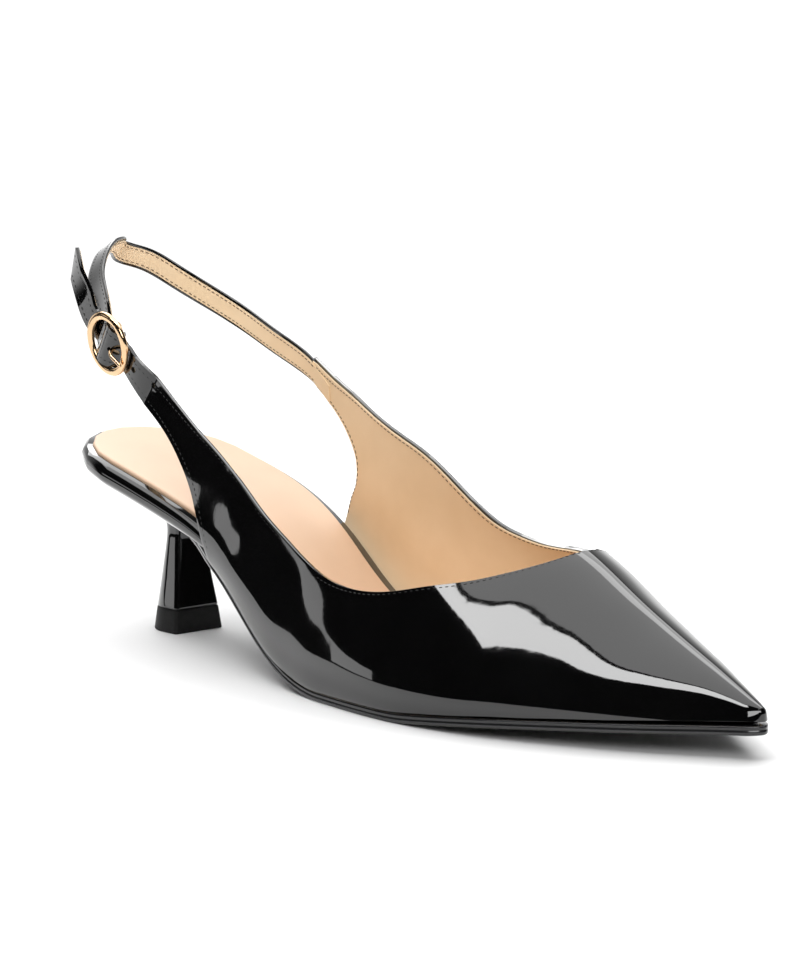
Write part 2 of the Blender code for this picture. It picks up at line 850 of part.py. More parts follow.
def build_buckle(collection, tools, material):
    """An oval ring with a bar across its middle, sunk below the ring."""
    bm = bmesh.new()
    mean_s = (BUCKLE_LENGTH - BUCKLE_BAND) / 2
    mean_w = (BUCKLE_HEIGHT - BUCKLE_BAND) / 2
    rings = []
    for k in range(RING_STEPS):
        angle = 2 * math.pi * k / RING_STEPS
        ring = []
        for j in range(BAND_STEPS):
            turn = 2 * math.pi * j / BAND_STEPS
            reach = BUCKLE_BAND / 2 * math.cos(turn)
            back = (mean_s + reach) * math.cos(angle)
            across = (mean_w + reach) * math.sin(angle)
            out = BUCKLE_THICKNESS / 2 * math.sin(turn)
            ring.append(bm.verts.new(in_buckle(back, across, out)))
        rings.append(ring)
    for k in range(RING_STEPS):
        for j in range(BAND_STEPS):
            n, m = (k + 1) % RING_STEPS, (j + 1) % BAND_STEPS
            bm.faces.new((rings[k][j], rings[k][m], rings[n][m], rings[n][j]))
    bmesh.ops.recalc_face_normals(bm, faces=bm.faces)
    buckle = make_object("buckle_frame", bm, material, collection)
    bend = mean_w - BUCKLE_BAND * 0.75
    route = [(-mean_w, 0), (-bend, -BAR_DROP * 0.85), (-bend * 0.88, -BAR_DROP),
             (bend * 0.88, -BAR_DROP), (bend, -BAR_DROP * 0.85), (mean_w, 0)]
    points = [in_buckle(0, across, out) for across, out in route]
    bar = tube("buckle_bar", points, BAR_DIAMETER, None, tools)
    bar.hide_render = True
    bar.display_type = "WIRE"
    joined = buckle.modifiers.new("bar", "BOOLEAN")
    joined.operation = "UNION"
    joined.solver = "EXACT"
    joined.object = bar
    return buckle


def build_prong(collection, material):
    """The prong: from the front of the bar, out through the strap, onto the rim."""
    reach = BUCKLE_LENGTH / 2
    radius = PRONG_DIAMETER / 2
    rest = BUCKLE_THICKNESS / 2 + GAP + radius
    start = BAR_DIAMETER / 2 + GAP + radius
    route = [
        (start, -BAR_DROP),
        (start + PRONG_BEND * 0.23, -BAR_DROP / 2),
        (start + PRONG_BEND * 0.54, rest * 0.6),
        (start + PRONG_BEND, rest),
        (reach * 0.80, rest),
        (reach * 0.98, rest),
    ]
    read = path([in_buckle(-front, 0, out) for front, out in route])
    points = [Vector(read(k / PRONG_STEPS)) for k in range(PRONG_STEPS + 1)]
    return tube("buckle_prong", points, PRONG_DIAMETER, material, collection)


def make_cutter(name, spans, radius, tools):
    """Round cutters across the buckle strap, joined in one guide object."""
    bm = bmesh.new()
    s_axis, w_axis, n_axis = buckle_axes()[1:]
    for front, width in spans:
        turn = Matrix((s_axis, w_axis, n_axis)).transposed().to_4x4()
        turn.translation = in_buckle(-front, 0, 0)
        made = bmesh.ops.create_cone(bm, cap_ends=True, segments=12, radius1=radius,
                                     radius2=radius, depth=0.012, matrix=turn)
        for vert in made["verts"]:
            offset = (vert.co - turn.translation).dot(s_axis)
            vert.co += s_axis * math.copysign(width, offset)
    bmesh.ops.recalc_face_normals(bm, faces=bm.faces)
    cutter = make_object(name, bm, None, tools)
    cutter.hide_render = True
    cutter.display_type = "WIRE"
    return cutter


def footprint_middle(objects):
    """Middle of the part's plan at the height of its lowest point."""
    bpy.context.view_layer.update()
    graph = bpy.context.evaluated_depsgraph_get()
    low = Vector((1, 1, 1)) * 10
    high = -low
    for obj in objects:
        mesh = obj.evaluated_get(graph).to_mesh()
        for vert in mesh.vertices:
            place = obj.matrix_world @ vert.co
            low = Vector(map(min, low, place))
            high = Vector(map(max, high, place))
        obj.evaluated_get(graph).to_mesh_clear()
    return Vector(((low.x + high.x) / 2, (low.y + high.y) / 2, low.z))


def main():
    for obj in list(bpy.data.objects):
        bpy.data.objects.remove(obj)
    parts = bpy.data.collections.new("slingback_pump")
    tools = bpy.data.collections.new("cutters")
    bpy.context.scene.collection.children.link(parts)
    bpy.context.scene.collection.children.link(tools)

    patent = make_material("black_patent", (0.006, 0.006, 0.007), 0.08, coat=1.0)
    sock = make_material("pale_sock", (0.83, 0.66, 0.50), 0.55)
    sole = make_material("black_sole", (0.012, 0.012, 0.013), 0.35)
    rubber = make_material("black_rubber", (0.02, 0.02, 0.02), 0.7)
    gold = make_material("pale_gold", (0.86, 0.62, 0.42), 0.18, metallic=1.0)

    upper = build_upper(parts, patent)
    sling = build_sling(parts, patent)
    pieces = [upper, sling]
    pieces.append(build_board(parts, patent))
    pieces.append(build_sock(parts, sock))
    pieces.append(build_outsole(parts, sole))
    pieces.append(build_heel(parts, patent))
    pieces.append(build_heel_tip(parts, rubber))
    pieces.append(build_buckle(parts, tools, gold))
    pieces.append(build_prong(parts, gold))

    first_hole = BUCKLE_LENGTH / 2 * RIM_OUTER + HOLE_DIAMETER
    holes = [(first_hole, 0), (first_hole + HOLE_PITCH, 0)]
    cut(upper, make_cutter("hole_cutter", holes, HOLE_DIAMETER / 2, tools))
    prong_radius = PRONG_DIAMETER / 2 + GAP
    slot_front = BAR_DIAMETER / 2 + GAP + SLOT_AHEAD
    slot = make_cutter("prong_cutter", [(slot_front, SLOT_STRETCH)], prong_radius, tools)
    cut(upper, slot)
    fold_front = FOLD_RADIUS + FOLD_SLOT
    fold = make_cutter("fold_cutter", [(fold_front, FOLD_SLOT)], prong_radius, tools)
    cut(sling, fold)

    origin = footprint_middle(pieces)
    for obj in list(parts.objects) + list(tools.objects):
        obj.location -= origin


main()
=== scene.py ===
"""Slingback pump, right shoe: looks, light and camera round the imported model.

The curved pieces are worked out again here from the solids' sizes in finer steps,
but board, sock and sole keep coarse steps at their backs.
"""
import math

import bmesh
import bpy
import numpy as np
from mathutils import Matrix, Vector, noise


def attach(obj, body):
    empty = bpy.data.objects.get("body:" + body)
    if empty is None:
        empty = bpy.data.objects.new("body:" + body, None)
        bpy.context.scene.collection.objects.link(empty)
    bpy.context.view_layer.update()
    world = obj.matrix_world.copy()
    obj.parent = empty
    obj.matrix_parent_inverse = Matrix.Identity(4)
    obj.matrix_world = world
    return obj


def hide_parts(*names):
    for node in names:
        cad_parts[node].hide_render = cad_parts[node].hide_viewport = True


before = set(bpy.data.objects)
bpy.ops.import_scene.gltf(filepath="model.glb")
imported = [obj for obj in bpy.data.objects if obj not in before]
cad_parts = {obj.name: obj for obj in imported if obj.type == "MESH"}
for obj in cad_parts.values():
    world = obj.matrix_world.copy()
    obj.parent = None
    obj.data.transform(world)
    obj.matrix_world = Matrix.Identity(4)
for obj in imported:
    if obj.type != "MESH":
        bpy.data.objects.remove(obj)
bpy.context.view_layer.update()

# Middle of the footprint, which is the row's origin, seen from the back of the seat
ORIGIN = Vector((0.13074, -0.00071, 0.0))

# Driving sizes of the last
LAST_LENGTH = 0.262
SEAT_WIDTH = 0.0548
SEAT_SHIFT = 0.0026
BALL_WIDTH = 0.073
SEAT_RISE = 0.0486
TOE_SPRING = 0.0065
INSTEP_HEIGHT = 0.0443
NOSE_LENGTH = 0.003
SIDE_SWELL = 0.0013
SWELL_HEIGHT = 0.030
SWELL_SCALE = 9.48

# Bottom of the shoe
SOLE_THICKNESS = 0.0024
SOLE_BACK = 0.0447
SOLE_BACK_ROUND = 0.006
BOARD_EDGE = 0.0062
BOARD_ROUND = 0.0022
SOCK_THICKNESS = 0.0010
SOCK_INSET = 0.0036
SOCK_END = 0.244

# Upper and straps
UPPER_WALL = 0.0016
STRAP_WALL = 0.0014
STRAP_WIDTH = 0.0072
TAB_WIDTH = 0.0088
STRAP_HEIGHT = 0.1113
FEATHER_LIFT = 0.0010
SEAM_LAP = 0.009
TAIL_CUT = 0.0068
HOLE_DIAMETER = 0.0018
HOLE_PITCH = 0.0075

# Heel
HEEL_CENTRE = 0.0336
HEEL_BASE_DEPTH = 0.0167
HEEL_BASE_WIDTH = 0.0182
HEEL_CORNER = 0.00112
HEEL_BACK_ROUND = 0.62
HEEL_BREAST = 0.985
TIP_THICKNESS = 0.0070

# Buckle
BUCKLE_LENGTH = 0.0190
BUCKLE_HEIGHT = 0.0190
BUCKLE_BAND = 0.0024
BUCKLE_THICKNESS = 0.0017
BUCKLE_PITCH = math.radians(38)
BUCKLE_LEAN = math.radians(14)
BUCKLE_YAW = math.radians(6.6)
BAR_DIAMETER = 0.0013
BAR_DROP = 0.0028
PRONG_DIAMETER = 0.0011
PRONG_BEND = 0.0026
SLOT_AHEAD = 0.0022
SLOT_STRETCH = 0.0008

# Clearance where pieces meet
GAP = 0.0003

# Shares of LAST_LENGTH along, and of BALL_WIDTH to each side
OUTLINE = (
    # along, lateral, medial
    (0.210, 0.345, 0.402),
    (0.325, 0.366, 0.333),
    (0.400, 0.404, 0.329),
    (0.477, 0.456, 0.373),
    (0.553, 0.493, 0.432),
    (0.630, 0.511, 0.479),
    (0.695, 0.495, 0.494),
    (0.763, 0.438, 0.452),
    (0.840, 0.329, 0.350),
    (0.916, 0.188, 0.199),
    (0.954, 0.101, 0.106),
    (1.000, 0.006, 0.006),
)

# Feather line behind the ball: shares of LAST_LENGTH, of SEAT_RISE and of BOARD_EDGE
SEAT_LINE = (
    # along, rise, board
    (0.000, 1.000, 1.00),
    (0.115, 0.848, 1.00),
    (0.218, 0.708, 0.97),
    (0.290, 0.597, 0.81),
    (0.328, 0.518, 0.54),
    (0.362, 0.394, 0.41),
    (0.400, 0.243, 0.35),
    (0.440, 0.119, 0.33),
    (0.485, 0.033, 0.32),
    (0.534, 0.000, 0.32),
)

# Feather line before the ball: shares of LAST_LENGTH and of TOE_SPRING
TOE_LINE = (
    # along, spring
    (0.634, 0.00),
    (0.698, 0.18),
    (0.798, 0.53),
    (0.900, 0.79),
    (1.000, 1.00),
)

# Ridge of the last: height as a share of INSTEP_HEIGHT, and the roundness of the
# section under it, where 2 is an ellipse and less is more like a roof
CREST = (
    # along, height, roundness
    (0.000, 4.300, 2.40),
    (0.100, 4.100, 2.40),
    (0.230, 3.450, 2.30),
    (0.344, 2.750, 2.20),
    (0.458, 2.100, 2.05),
    (0.573, 1.600, 1.85),
    (0.687, 1.210, 1.68),
    (0.7695, 1.000, 1.58),
    (0.848, 0.738, 1.52),
    (0.932, 0.490, 1.56),
    (1.000, 0.280, 1.80),
)

# Topline and back edge of each quarter. Girth is 0 at the feather and 1 on the ridge
LATERAL_TOPLINE = (
    # along, girth
    (0.7695, 1.000),
    (0.766, 0.880),
    (0.755, 0.744),
    (0.730, 0.613),
    (0.698, 0.517),
    (0.660, 0.437),
    (0.626, 0.369),
    (0.588, 0.315),
    (0.550, 0.284),
    (0.506, 0.269),
    (0.4625, 0.259),
    (0.4165, 0.236),
    (0.370, 0.213),
    (0.332, 0.194),
    (0.296, 0.186),
    (0.255, 0.188),
    (0.213, 0.193),
)
LATERAL_BACK = (
    # along, girth
    (0.322, 0.000),
    (0.313, 0.018),
    (0.300, 0.047),
    (0.286, 0.076),
    (0.269, 0.098),
    (0.250, 0.115),
    (0.224, 0.129),
    (0.194, 0.137),
)
MEDIAL_TOPLINE = (
    # along, girth
    (0.7695, 1.000),
    (0.766, 0.885),
    (0.755, 0.750),
    (0.732, 0.640),
    (0.697, 0.560),
    (0.656, 0.490),
    (0.612, 0.420),
    (0.575, 0.386),
    (0.545, 0.374),
    (0.518, 0.384),
    (0.4625, 0.404),
    (0.415, 0.368),
    (0.366, 0.313),
    (0.303, 0.261),
    (0.239, 0.232),
)
MEDIAL_BACK = (
    # along, girth
    (0.291, 0.000),
    (0.305, 0.052),
    (0.320, 0.096),
    (0.323, 0.135),
    (0.309, 0.167),
    (0.282, 0.181),
    (0.241, 0.182),
)

# Share of each quarter's topline that is reached where its back edge begins
LATERAL_SPLIT = 0.62
MEDIAL_SPLIT = 0.56

# Width of the sole's waist as a share of the last's own
WAIST = (
    # along, share
    (0.165, 0.600),
    (0.215, 0.680),
    (0.265, 0.810),
    (0.310, 0.960),
    (0.350, 1.000),
)

# Heel: shares of its height, of HEEL_BASE_DEPTH from its centre, and of half its width
HEEL = (
    # height, back, front, half
    (0.000, -0.500, 0.500, 1.00),
    (0.170, -0.430, 0.455, 0.90),
    (0.317, -0.365, 0.405, 0.80),
    (0.488, -0.290, 0.345, 0.69),
    (0.640, -0.235, 0.290, 0.59),
    (0.730, -0.245, 0.285, 0.57),
    (0.810, -0.330, 0.330, 0.68),
    (0.880, -0.455, 0.405, 0.88),
    (0.940, -0.590, 0.500, 1.14),
    (1.000, -0.730, 0.620, 1.43),
)

# Sling strap: its inner face, as shares of LAST_LENGTH, SEAT_WIDTH and STRAP_HEIGHT,
# with the lean of its upper edge in degrees, outward above 0
SLING = (
    # along, across, up, lean
    (0.177, 0.482, 0.759, 0),
    (0.111, 0.486, 0.820, 2),
    (0.064, 0.425, 0.875, 2),
    (0.030, 0.312, 0.932, -2),
    (0.011, 0.175, 0.977, -8),
    (0.0065, 0.062, 0.994, -20),
    (0.0215, -0.010, 1.009, -48),
    (0.042, -0.142, 1.014, -56),
    (0.066, -0.288, 0.985, -48),
    (0.0937, -0.405, 0.933, -41),
)

# Free tail of the buckle strap: inner face, same shares
TAIL = (
    # along, across, up, lean
    (0.1165, -0.560, 0.905, 14),
    (0.1057, -0.568, 0.961, 22),
)

# Centre of the buckle, same shares
BUCKLE_PLACE = (0.1538, -0.566, 0.787)

# Mesh density
NOSE_STEPS = 14
VAMP_STEPS = 66
QUARTER_STEPS = 84
BACK_STEPS = 40
GIRTH_STEPS = 44
TAB_PITCH = 0.0012
SLING_PITCH = 0.0014
SLAB_STEPS = 120
END_STEPS = 5
HEEL_LEVELS = 60
HEEL_BACK_STEPS = 48
HEEL_SIDE_STEPS = 6
HEEL_CORNER_STEPS = 8
HEEL_BREAST_STEPS = 12
RING_STEPS = 120
BAND_STEPS = 28


def spline(rows, flat_start=False, flat_end=False):
    """A smooth curve through rows whose first number is the parameter."""
    data = np.array(rows, dtype=float)
    knots = data[:, 0]
    values = data[:, 1:]
    count = len(knots)
    steps = np.diff(knots)
    chords = np.diff(values, axis=0) / steps[:, None]
    matrix = np.zeros((count, count))
    right = np.zeros_like(values)
    for k in range(1, count - 1):
        matrix[k, k - 1] = 1 / steps[k - 1]
        matrix[k, k] = 2 / steps[k - 1] + 2 / steps[k]
        matrix[k, k + 1] = 1 / steps[k]
        right[k] = 3 * (chords[k - 1] / steps[k - 1] + chords[k] / steps[k])
    matrix[0, 0] = 1
    matrix[-1, -1] = 1
    if not flat_start:
        matrix[0, :2] = (2, 1)
        right[0] = 3 * chords[0]
    if not flat_end:
        matrix[-1, -2:] = (1, 2)
        right[-1] = 3 * chords[-1]
    slopes = np.linalg.solve(matrix, right)

    def read(at):
        at = min(max(at, knots[0]), knots[-1])
        k = min(int(np.searchsorted(knots, at, side="right")) - 1, count - 2)
        h = steps[k]
        t = (at - knots[k]) / h
        start = (1 + 2 * t) * (1 - t) ** 2
        end = t * t * (3 - 2 * t)
        out = t * (1 - t) ** 2 * h
        into = t * t * (t - 1) * h
        return start * values[k] + end * values[k + 1] + out * slopes[k] + into * slopes[k + 1]

    return read


def length_knots(points):
    """The length along a run of points at each of them."""
    points = np.array(points, dtype=float)
    spans = np.linalg.norm(np.diff(points[:, :3], axis=0), axis=1)
    return np.concatenate(([0.0], np.cumsum(spans)))


def path(points):
    """A smooth curve through points, read by the share of its length."""
    knots = length_knots(points)
    return spline(np.column_stack((knots / knots[-1], np.array(points, dtype=float))))


def sample(points, pitch):
    """Readings along a path, at least two to each span and none further apart than pitch."""
    read = path(points)
    knots = length_knots(points)
    places = []
    for start, end in zip(knots, knots[1:]):
        count = max(math.ceil((end - start) / pitch), 2)
        places += [start + (end - start) * k / count for k in range(count)]
    return [read(place / knots[-1]) for place in places + [knots[-1]]]


SEAT_RADIUS = SEAT_WIDTH / 2
BOARD_TIP = LAST_LENGTH - UPPER_WALL - 2 * GAP
SEAT_ROW = (
    SEAT_RADIUS / LAST_LENGTH,
    (SEAT_RADIUS - SEAT_SHIFT) / BALL_WIDTH,
    (SEAT_RADIUS + SEAT_SHIFT) / BALL_WIDTH,
)
read_outline = spline((SEAT_ROW,) + OUTLINE, flat_start=True)
read_seat = spline(SEAT_LINE, flat_end=True)
read_toe = spline(TOE_LINE, flat_start=True)
read_crest = spline(CREST)
read_waist = spline(WAIST)
read_heel = spline(HEEL)
LATERAL = -1
MEDIAL = 1
STRAP_SCALE = np.array((LAST_LENGTH, SEAT_WIDTH, STRAP_HEIGHT))


def half_width(x, side, grow, tip):
    """Half width of the last's plan, grown outward, with its round seat and nose."""
    if x < SEAT_RADIUS:
        radius = SEAT_RADIUS + grow
        half = math.sqrt(max(radius ** 2 - (SEAT_RADIUS - x) ** 2, 0))
        half *= 1 + side * SEAT_SHIFT / SEAT_RADIUS
    else:
        lateral, medial = read_outline(x / LAST_LENGTH) * BALL_WIDTH
        half = (lateral if side == LATERAL else medial) + grow
    nose = tip - NOSE_LENGTH
    if x > nose:
        half *= math.sqrt(max(1 - ((x - nose) / NOSE_LENGTH) ** 2, 0))
    return half


def feather(x):
    """Height of the outsole's upper edge."""
    at = x / LAST_LENGTH
    height = SOLE_THICKNESS
    if at < SEAT_LINE[-1][0]:
        height += read_seat(at)[0] * SEAT_RISE
    if at > TOE_LINE[0][0]:
        height += read_toe(at)[0] * TOE_SPRING
    return height


def board_bottom(x):
    return feather(x) + GAP


def board_top(x):
    return board_bottom(x) + read_seat(x / LAST_LENGTH)[1] * BOARD_EDGE


def last_point(x, girth, side):
    """A point on the last, which is the inner face of the upper."""
    height, roundness = read_crest(x / LAST_LENGTH)
    low = feather(x)
    top = max(height * INSTEP_HEIGHT - UPPER_WALL, low)
    half = half_width(x, side, GAP, BOARD_TIP + GAP)
    angle = girth * math.pi / 2
    y = half * max(math.cos(angle), 0) ** (2 / roundness)
    z = low + (top - low) * math.sin(angle) ** (2 / roundness)
    t = min((z - low) / SWELL_HEIGHT, 1)
    fade = min(half / SEAT_RADIUS, 1)
    y += SIDE_SWELL * SWELL_SCALE * t * (1 - t) ** 3 * fade * math.cos(angle)
    return Vector((x, side * y, z))


def lowest_girth(x):
    """The girth at which the upper's wall starts, just above the outsole."""
    height, roundness = read_crest(x / LAST_LENGTH)
    depth = max(height * INSTEP_HEIGHT - UPPER_WALL - feather(x), FEATHER_LIFT)
    share = min(FEATHER_LIFT / depth, 0.5)
    return math.asin(share ** (roundness / 2)) * 2 / math.pi


def strap_frames(rows):
    """Points of a strap's middle line with the direction across it at each one."""
    centres = [Vector(np.array(row[:3]) * STRAP_SCALE) for row in rows]
    frames = []
    for k, row in enumerate(rows):
        before = centres[max(k - 1, 0)]
        after = centres[min(k + 1, len(centres) - 1)]
        along = (after - before).normalized()
        up = Vector((0, 0, 1))
        across = (up - along * up.dot(along)).normalized()
        outward = Vector((centres[k].x - SEAT_RADIUS, centres[k].y, 0))
        outward -= across * outward.dot(across)
        outward -= along * outward.dot(along)
        outward.normalize()
        lean = math.radians(row[3])
        across = across * math.cos(lean) + outward * math.sin(lean)
        frames.append((centres[k], across))
    return frames


def buckle_axes():
    """Centre of the buckle, and its directions backward, across and outward."""
    back = Vector((-math.cos(BUCKLE_PITCH), 0, math.sin(BUCKLE_PITCH)))
    out = Vector((0, -1, 0))
    turn = Matrix.Rotation(BUCKLE_YAW, 3, "Z") @ Matrix.Rotation(BUCKLE_LEAN, 3, -back)
    centre = Vector(np.array(BUCKLE_PLACE) * STRAP_SCALE)
    return centre, turn @ back, turn @ back.cross(out), turn @ out


def in_buckle(back, across, out):
    """A place in the buckle's own directions."""
    centre, s_axis, w_axis, n_axis = buckle_axes()
    return centre + s_axis * back + w_axis * across + n_axis * out


# Depths of the layers in the buckle, from its middle plane, outward above 0
TAB_UNDER = -(BUCKLE_THICKNESS / 2 + GAP + UPPER_WALL)
SLING_UNDER = TAB_UNDER - GAP - STRAP_WALL
FOLD_RADIUS = BAR_DIAMETER / 2 + GAP
SLING_OVER = -BAR_DROP + FOLD_RADIUS
TAB_OVER = SLING_OVER + STRAP_WALL + GAP
TAB_SLOPE = (TAB_OVER + TAB_UNDER) / 2
SLOPE_ROOM = 1.1
SLING_SLOPE = TAB_SLOPE - (STRAP_WALL + 2 * GAP) * SLOPE_ROOM
SLING_RISE = 0.0020

# Shares of half the buckle's length where a strap dips and where it leaves the ring
RIM_INNER = 0.50
RIM_OUTER = 1.04

# Depth of the sling's seam end inside the quarter
SEWN_STEP = 0.0003


def side_rows(topline, back_edge, split):
    """Rows of (x, girth) pairs from the toe back to the end of a quarter."""
    throat = topline[0][0] * LAST_LENGTH
    corner = back_edge[0][0] * LAST_LENGTH
    nose = BOARD_TIP + GAP - NOSE_LENGTH
    xs = [nose + NOSE_LENGTH * math.cos(math.pi / 2 * k / NOSE_STEPS) for k in range(NOSE_STEPS)]
    xs += [nose + (throat - nose) * k / VAMP_STEPS for k in range(VAMP_STEPS)]
    rows = [((x, lowest_girth(x)), (x, 1.0)) for x in xs]
    read_top = path([(a * LAST_LENGTH, g * BALL_WIDTH, 0) for a, g in topline])
    read_back = path([(a * LAST_LENGTH, g * BALL_WIDTH, 0) for a, g in back_edge])

    def top_at(share):
        x, girth, _ = read_top(share)
        return x, min(girth / BALL_WIDTH, 1.0)

    def back_at(share):
        x, girth, _ = read_back(share)
        return x, max(girth / BALL_WIDTH, lowest_girth(x))

    for k in range(QUARTER_STEPS):
        share = k / QUARTER_STEPS
        x = throat + (corner - throat) * share
        rows.append(((x, lowest_girth(x)), top_at(split * share)))
    for k in range(BACK_STEPS + 1):
        share = k / BACK_STEPS
        rows.append((back_at(share), top_at(split + (1 - split) * share)))
    return rows


def skin_rows(side, topline, back_edge, split):
    """The same rows, each as points on the last from its lower to its upper edge."""
    skin = []
    rows = side_rows(topline, back_edge, split)
    for (low_x, low_girth), (top_x, top_girth) in rows:
        row = []
        for k in range(GIRTH_STEPS + 1):
            t = k / GIRTH_STEPS
            x = low_x + (top_x - low_x) * t
            girth = low_girth + (top_girth - low_girth) * t
            row.append(last_point(x, girth, side))
        skin.append(row)
    return skin


def tab_path():
    """Middle line of the buckle strap's inner face, through the buckle to its tail."""
    reach = BUCKLE_LENGTH / 2
    across = buckle_axes()[2]
    layers = (
        (-RIM_OUTER, TAB_UNDER), (-RIM_INNER, TAB_UNDER), (0, TAB_OVER),
        (RIM_INNER / 2, TAB_SLOPE), (RIM_INNER, TAB_UNDER), (RIM_OUTER, TAB_UNDER),
    )
    frames = [(in_buckle(share * reach, 0, depth), across) for share, depth in layers]
    return frames + strap_frames(TAIL)


def strap_row(centre, across, steps):
    return [centre + across * (2 * k / steps - 1) for k in range(steps + 1)]


def tab_rows(last_row):
    """The buckle strap's rows, which go on from the quarter's last row."""
    start = (last_row[0] + last_row[-1]) / 2
    first = (start, last_row[-1] - last_row[0])
    frames = [first] + tab_path()
    widths = [first[1].length] + [TAB_WIDTH] * (len(frames) - 1)
    data = [(*c, *a.normalized(), w) for (c, a), w in zip(frames, widths)]
    rows = []
    for values in sample(data, TAB_PITCH)[1:]:
        centre = Vector(values[:3])
        across = Vector(values[3:6]).normalized() * values[6] / 2
        rows.append(strap_row(centre, across, GIRTH_STEPS))
    along = (rows[-1][0] - rows[-2][0]).normalized()
    rows.append([p + along * TAIL_CUT * j / GIRTH_STEPS for j, p in enumerate(rows[-1])])
    return rows


def sling_path():
    """Middle line of the sling strap's inner face, from its sewn-in seam to its fold."""
    reach = BUCKLE_LENGTH / 2
    across = buckle_axes()[2]
    seam_x = MEDIAL_BACK[-1][0] * LAST_LENGTH
    low, high = MEDIAL_BACK[-1][1], MEDIAL_TOPLINE[-1][1]
    inward = Vector((0, -SEWN_STEP, 0))
    frames = []
    for x in (seam_x + SEAM_LAP, seam_x + SEAM_LAP / 2, seam_x + GAP):
        lower = last_point(x, low, MEDIAL)
        upper = last_point(x, high, MEDIAL)
        frames.append(((lower + upper) / 2 + inward, (upper - lower).normalized()))
    frames += strap_frames(SLING)
    stops = [
        (RIM_OUTER * reach, SLING_RISE, SLING_UNDER - SLING_RISE),
        (RIM_INNER * reach, 0, SLING_UNDER - GAP),
        (RIM_INNER / 2 * reach, 0, SLING_SLOPE),
    ]
    for turn in (90, 45, 0, -45, -90):
        angle = math.radians(turn)
        out = FOLD_RADIUS * math.sin(angle) - BAR_DROP
        stops.append((-FOLD_RADIUS * math.cos(angle), 0, out))
    return frames + [(in_buckle(*stop), across) for stop in stops]


def outline_loop(xs, grow, tip, shrink=None):
    """A closed plan outline, lateral side forward and medial side back."""
    def y_at(x, side):
        half = half_width(x, side, grow, tip)
        if shrink:
            half *= shrink(x)
        return side * half

    lateral = [Vector((x, y_at(x, LATERAL), 0)) for x in xs]
    medial = [Vector((x, y_at(x, MEDIAL), 0)) for x in xs[1:-1]]
    return lateral + medial[::-1]


def inset_loop(loop, inset):
    """The outline moved inward by an amount that may change along the shoe."""
    count = len(loop)
    moved = []
    for k, point in enumerate(loop):
        along = (loop[(k + 1) % count] - loop[k - 1]).normalized()
        moved.append(point + Vector((-along.y, along.x, 0)) * inset(point.x))
    return moved


def even(inset):
    return lambda x: inset


def stations(start, end, round_start, round_end):
    """Places along x, closer together where the plan is round at its two ends."""
    first = start + round_start
    last = end - round_end
    turns = [math.pi / 2 * k / END_STEPS for k in range(END_STEPS)]
    xs = [first - round_start * math.cos(turn) for turn in turns]
    xs += [first + (last - first) * k / SLAB_STEPS for k in range(SLAB_STEPS)]
    return xs + [last + round_end * math.sin(turn) for turn in turns] + [end]


def heel_section(share):
    """The heel's plan at a share of its height: a round back and a straight breast."""
    back, front, half = read_heel(share)
    x_back = HEEL_CENTRE + back * HEEL_BASE_DEPTH
    x_front = HEEL_CENTRE + front * HEEL_BASE_DEPTH
    x_round = x_back + HEEL_BACK_ROUND * (x_front - x_back)
    x_corner = x_front - HEEL_CORNER
    y_half = half * HEEL_BASE_WIDTH / 2
    y_side = y_half * HEEL_BREAST
    y_corner = y_side - HEEL_CORNER
    arc = []
    for k in range(HEEL_BACK_STEPS + 1):
        angle = math.pi / 2 * (1 - 2 * k / HEEL_BACK_STEPS)
        arc.append((x_round - (x_round - x_back) * math.cos(angle), y_half * math.sin(angle)))
    flank = []
    for k in range(1, HEEL_SIDE_STEPS):
        t = k / HEEL_SIDE_STEPS
        flank.append((x_round + (x_corner - x_round) * t, y_half + (y_side - y_half) * t))
    for k in range(HEEL_CORNER_STEPS + 1):
        angle = math.pi / 2 * k / HEEL_CORNER_STEPS
        corner = (math.sin(angle) * HEEL_CORNER, math.cos(angle) * HEEL_CORNER)
        flank.append((x_corner + corner[0], y_corner + corner[1]))
    shares = [1 - 2 * k / HEEL_BREAST_STEPS for k in range(1, HEEL_BREAST_STEPS)]
    breast = [(x_front, -y_corner * share) for share in shares]
    return arc + [(x, -y) for x, y in flank] + breast + flank[::-1]


# Layers of the walls, outward from their inner face
LINING_DEPTH = 0.0005
PATENT_START = 0.00055
SLING_LINING_DEPTH = 0.00042
SLING_PATENT_START = 0.00045
LINING_TRIM = 0.0009
SHORTEST_ROW = 0.001
EDGE_ROUND = 0.00032
MERGE_DISTANCE = 0.00001

# Unevenness of the glued skin: height, size of its waves and place in the noise
UPPER_WAVES = (0.00022, 0.017, 1)
SLING_WAVES = (0.00006, 0.010, 2)
WAVE_SHIFT = Vector((7.1, 3.3, 5.7))

# Straps: readings that even out the sling's twist, room in the ring, rods for holes
TWIST_REACH = 5
TWIST_END = 25
SLING_COLUMNS = 8
RING_ROOM = 0.0004
CUTTER_DEPTH = 0.008
CUTTER_SINK = 0.002
CUTTER_SIDES = 28

# Stitches, and their shape as shares of length, of radius, and of the radius sunk in
STITCH_INSET = 0.0019
SLING_STITCH_INSET = 0.00152
SLING_STITCHED = slice(8, -2)
STITCH_PITCH = 0.0017
STITCH_LENGTH = 0.0011
STITCH_RADIUS = 0.00013
STITCH_PROUD = 0.00002
STITCH_SIDES = 6
STITCH_SHAPE = ((0, 0.35, 0.9), (0.22, 0.95, 0.15), (0.78, 0.95, 0.15), (1, 0.35, 0.9))
ROW_STEP = 0.0005

# Edge of the board: shares of its thickness and of BOARD_ROUND
BOARD_EDGE_SHAPE = ((0.0, 0.80), (0.2, 0.20), (0.5, 0.0), (0.8, 0.20), (1.0, 0.80))
BOARD_LEVELS = 16

# Sock: lift off the board, and share of its depth under the rounded edge
SOCK_LIFT = 0.00005
SOCK_SIDE = 0.3
SOCK_ROUND_STEPS = 5

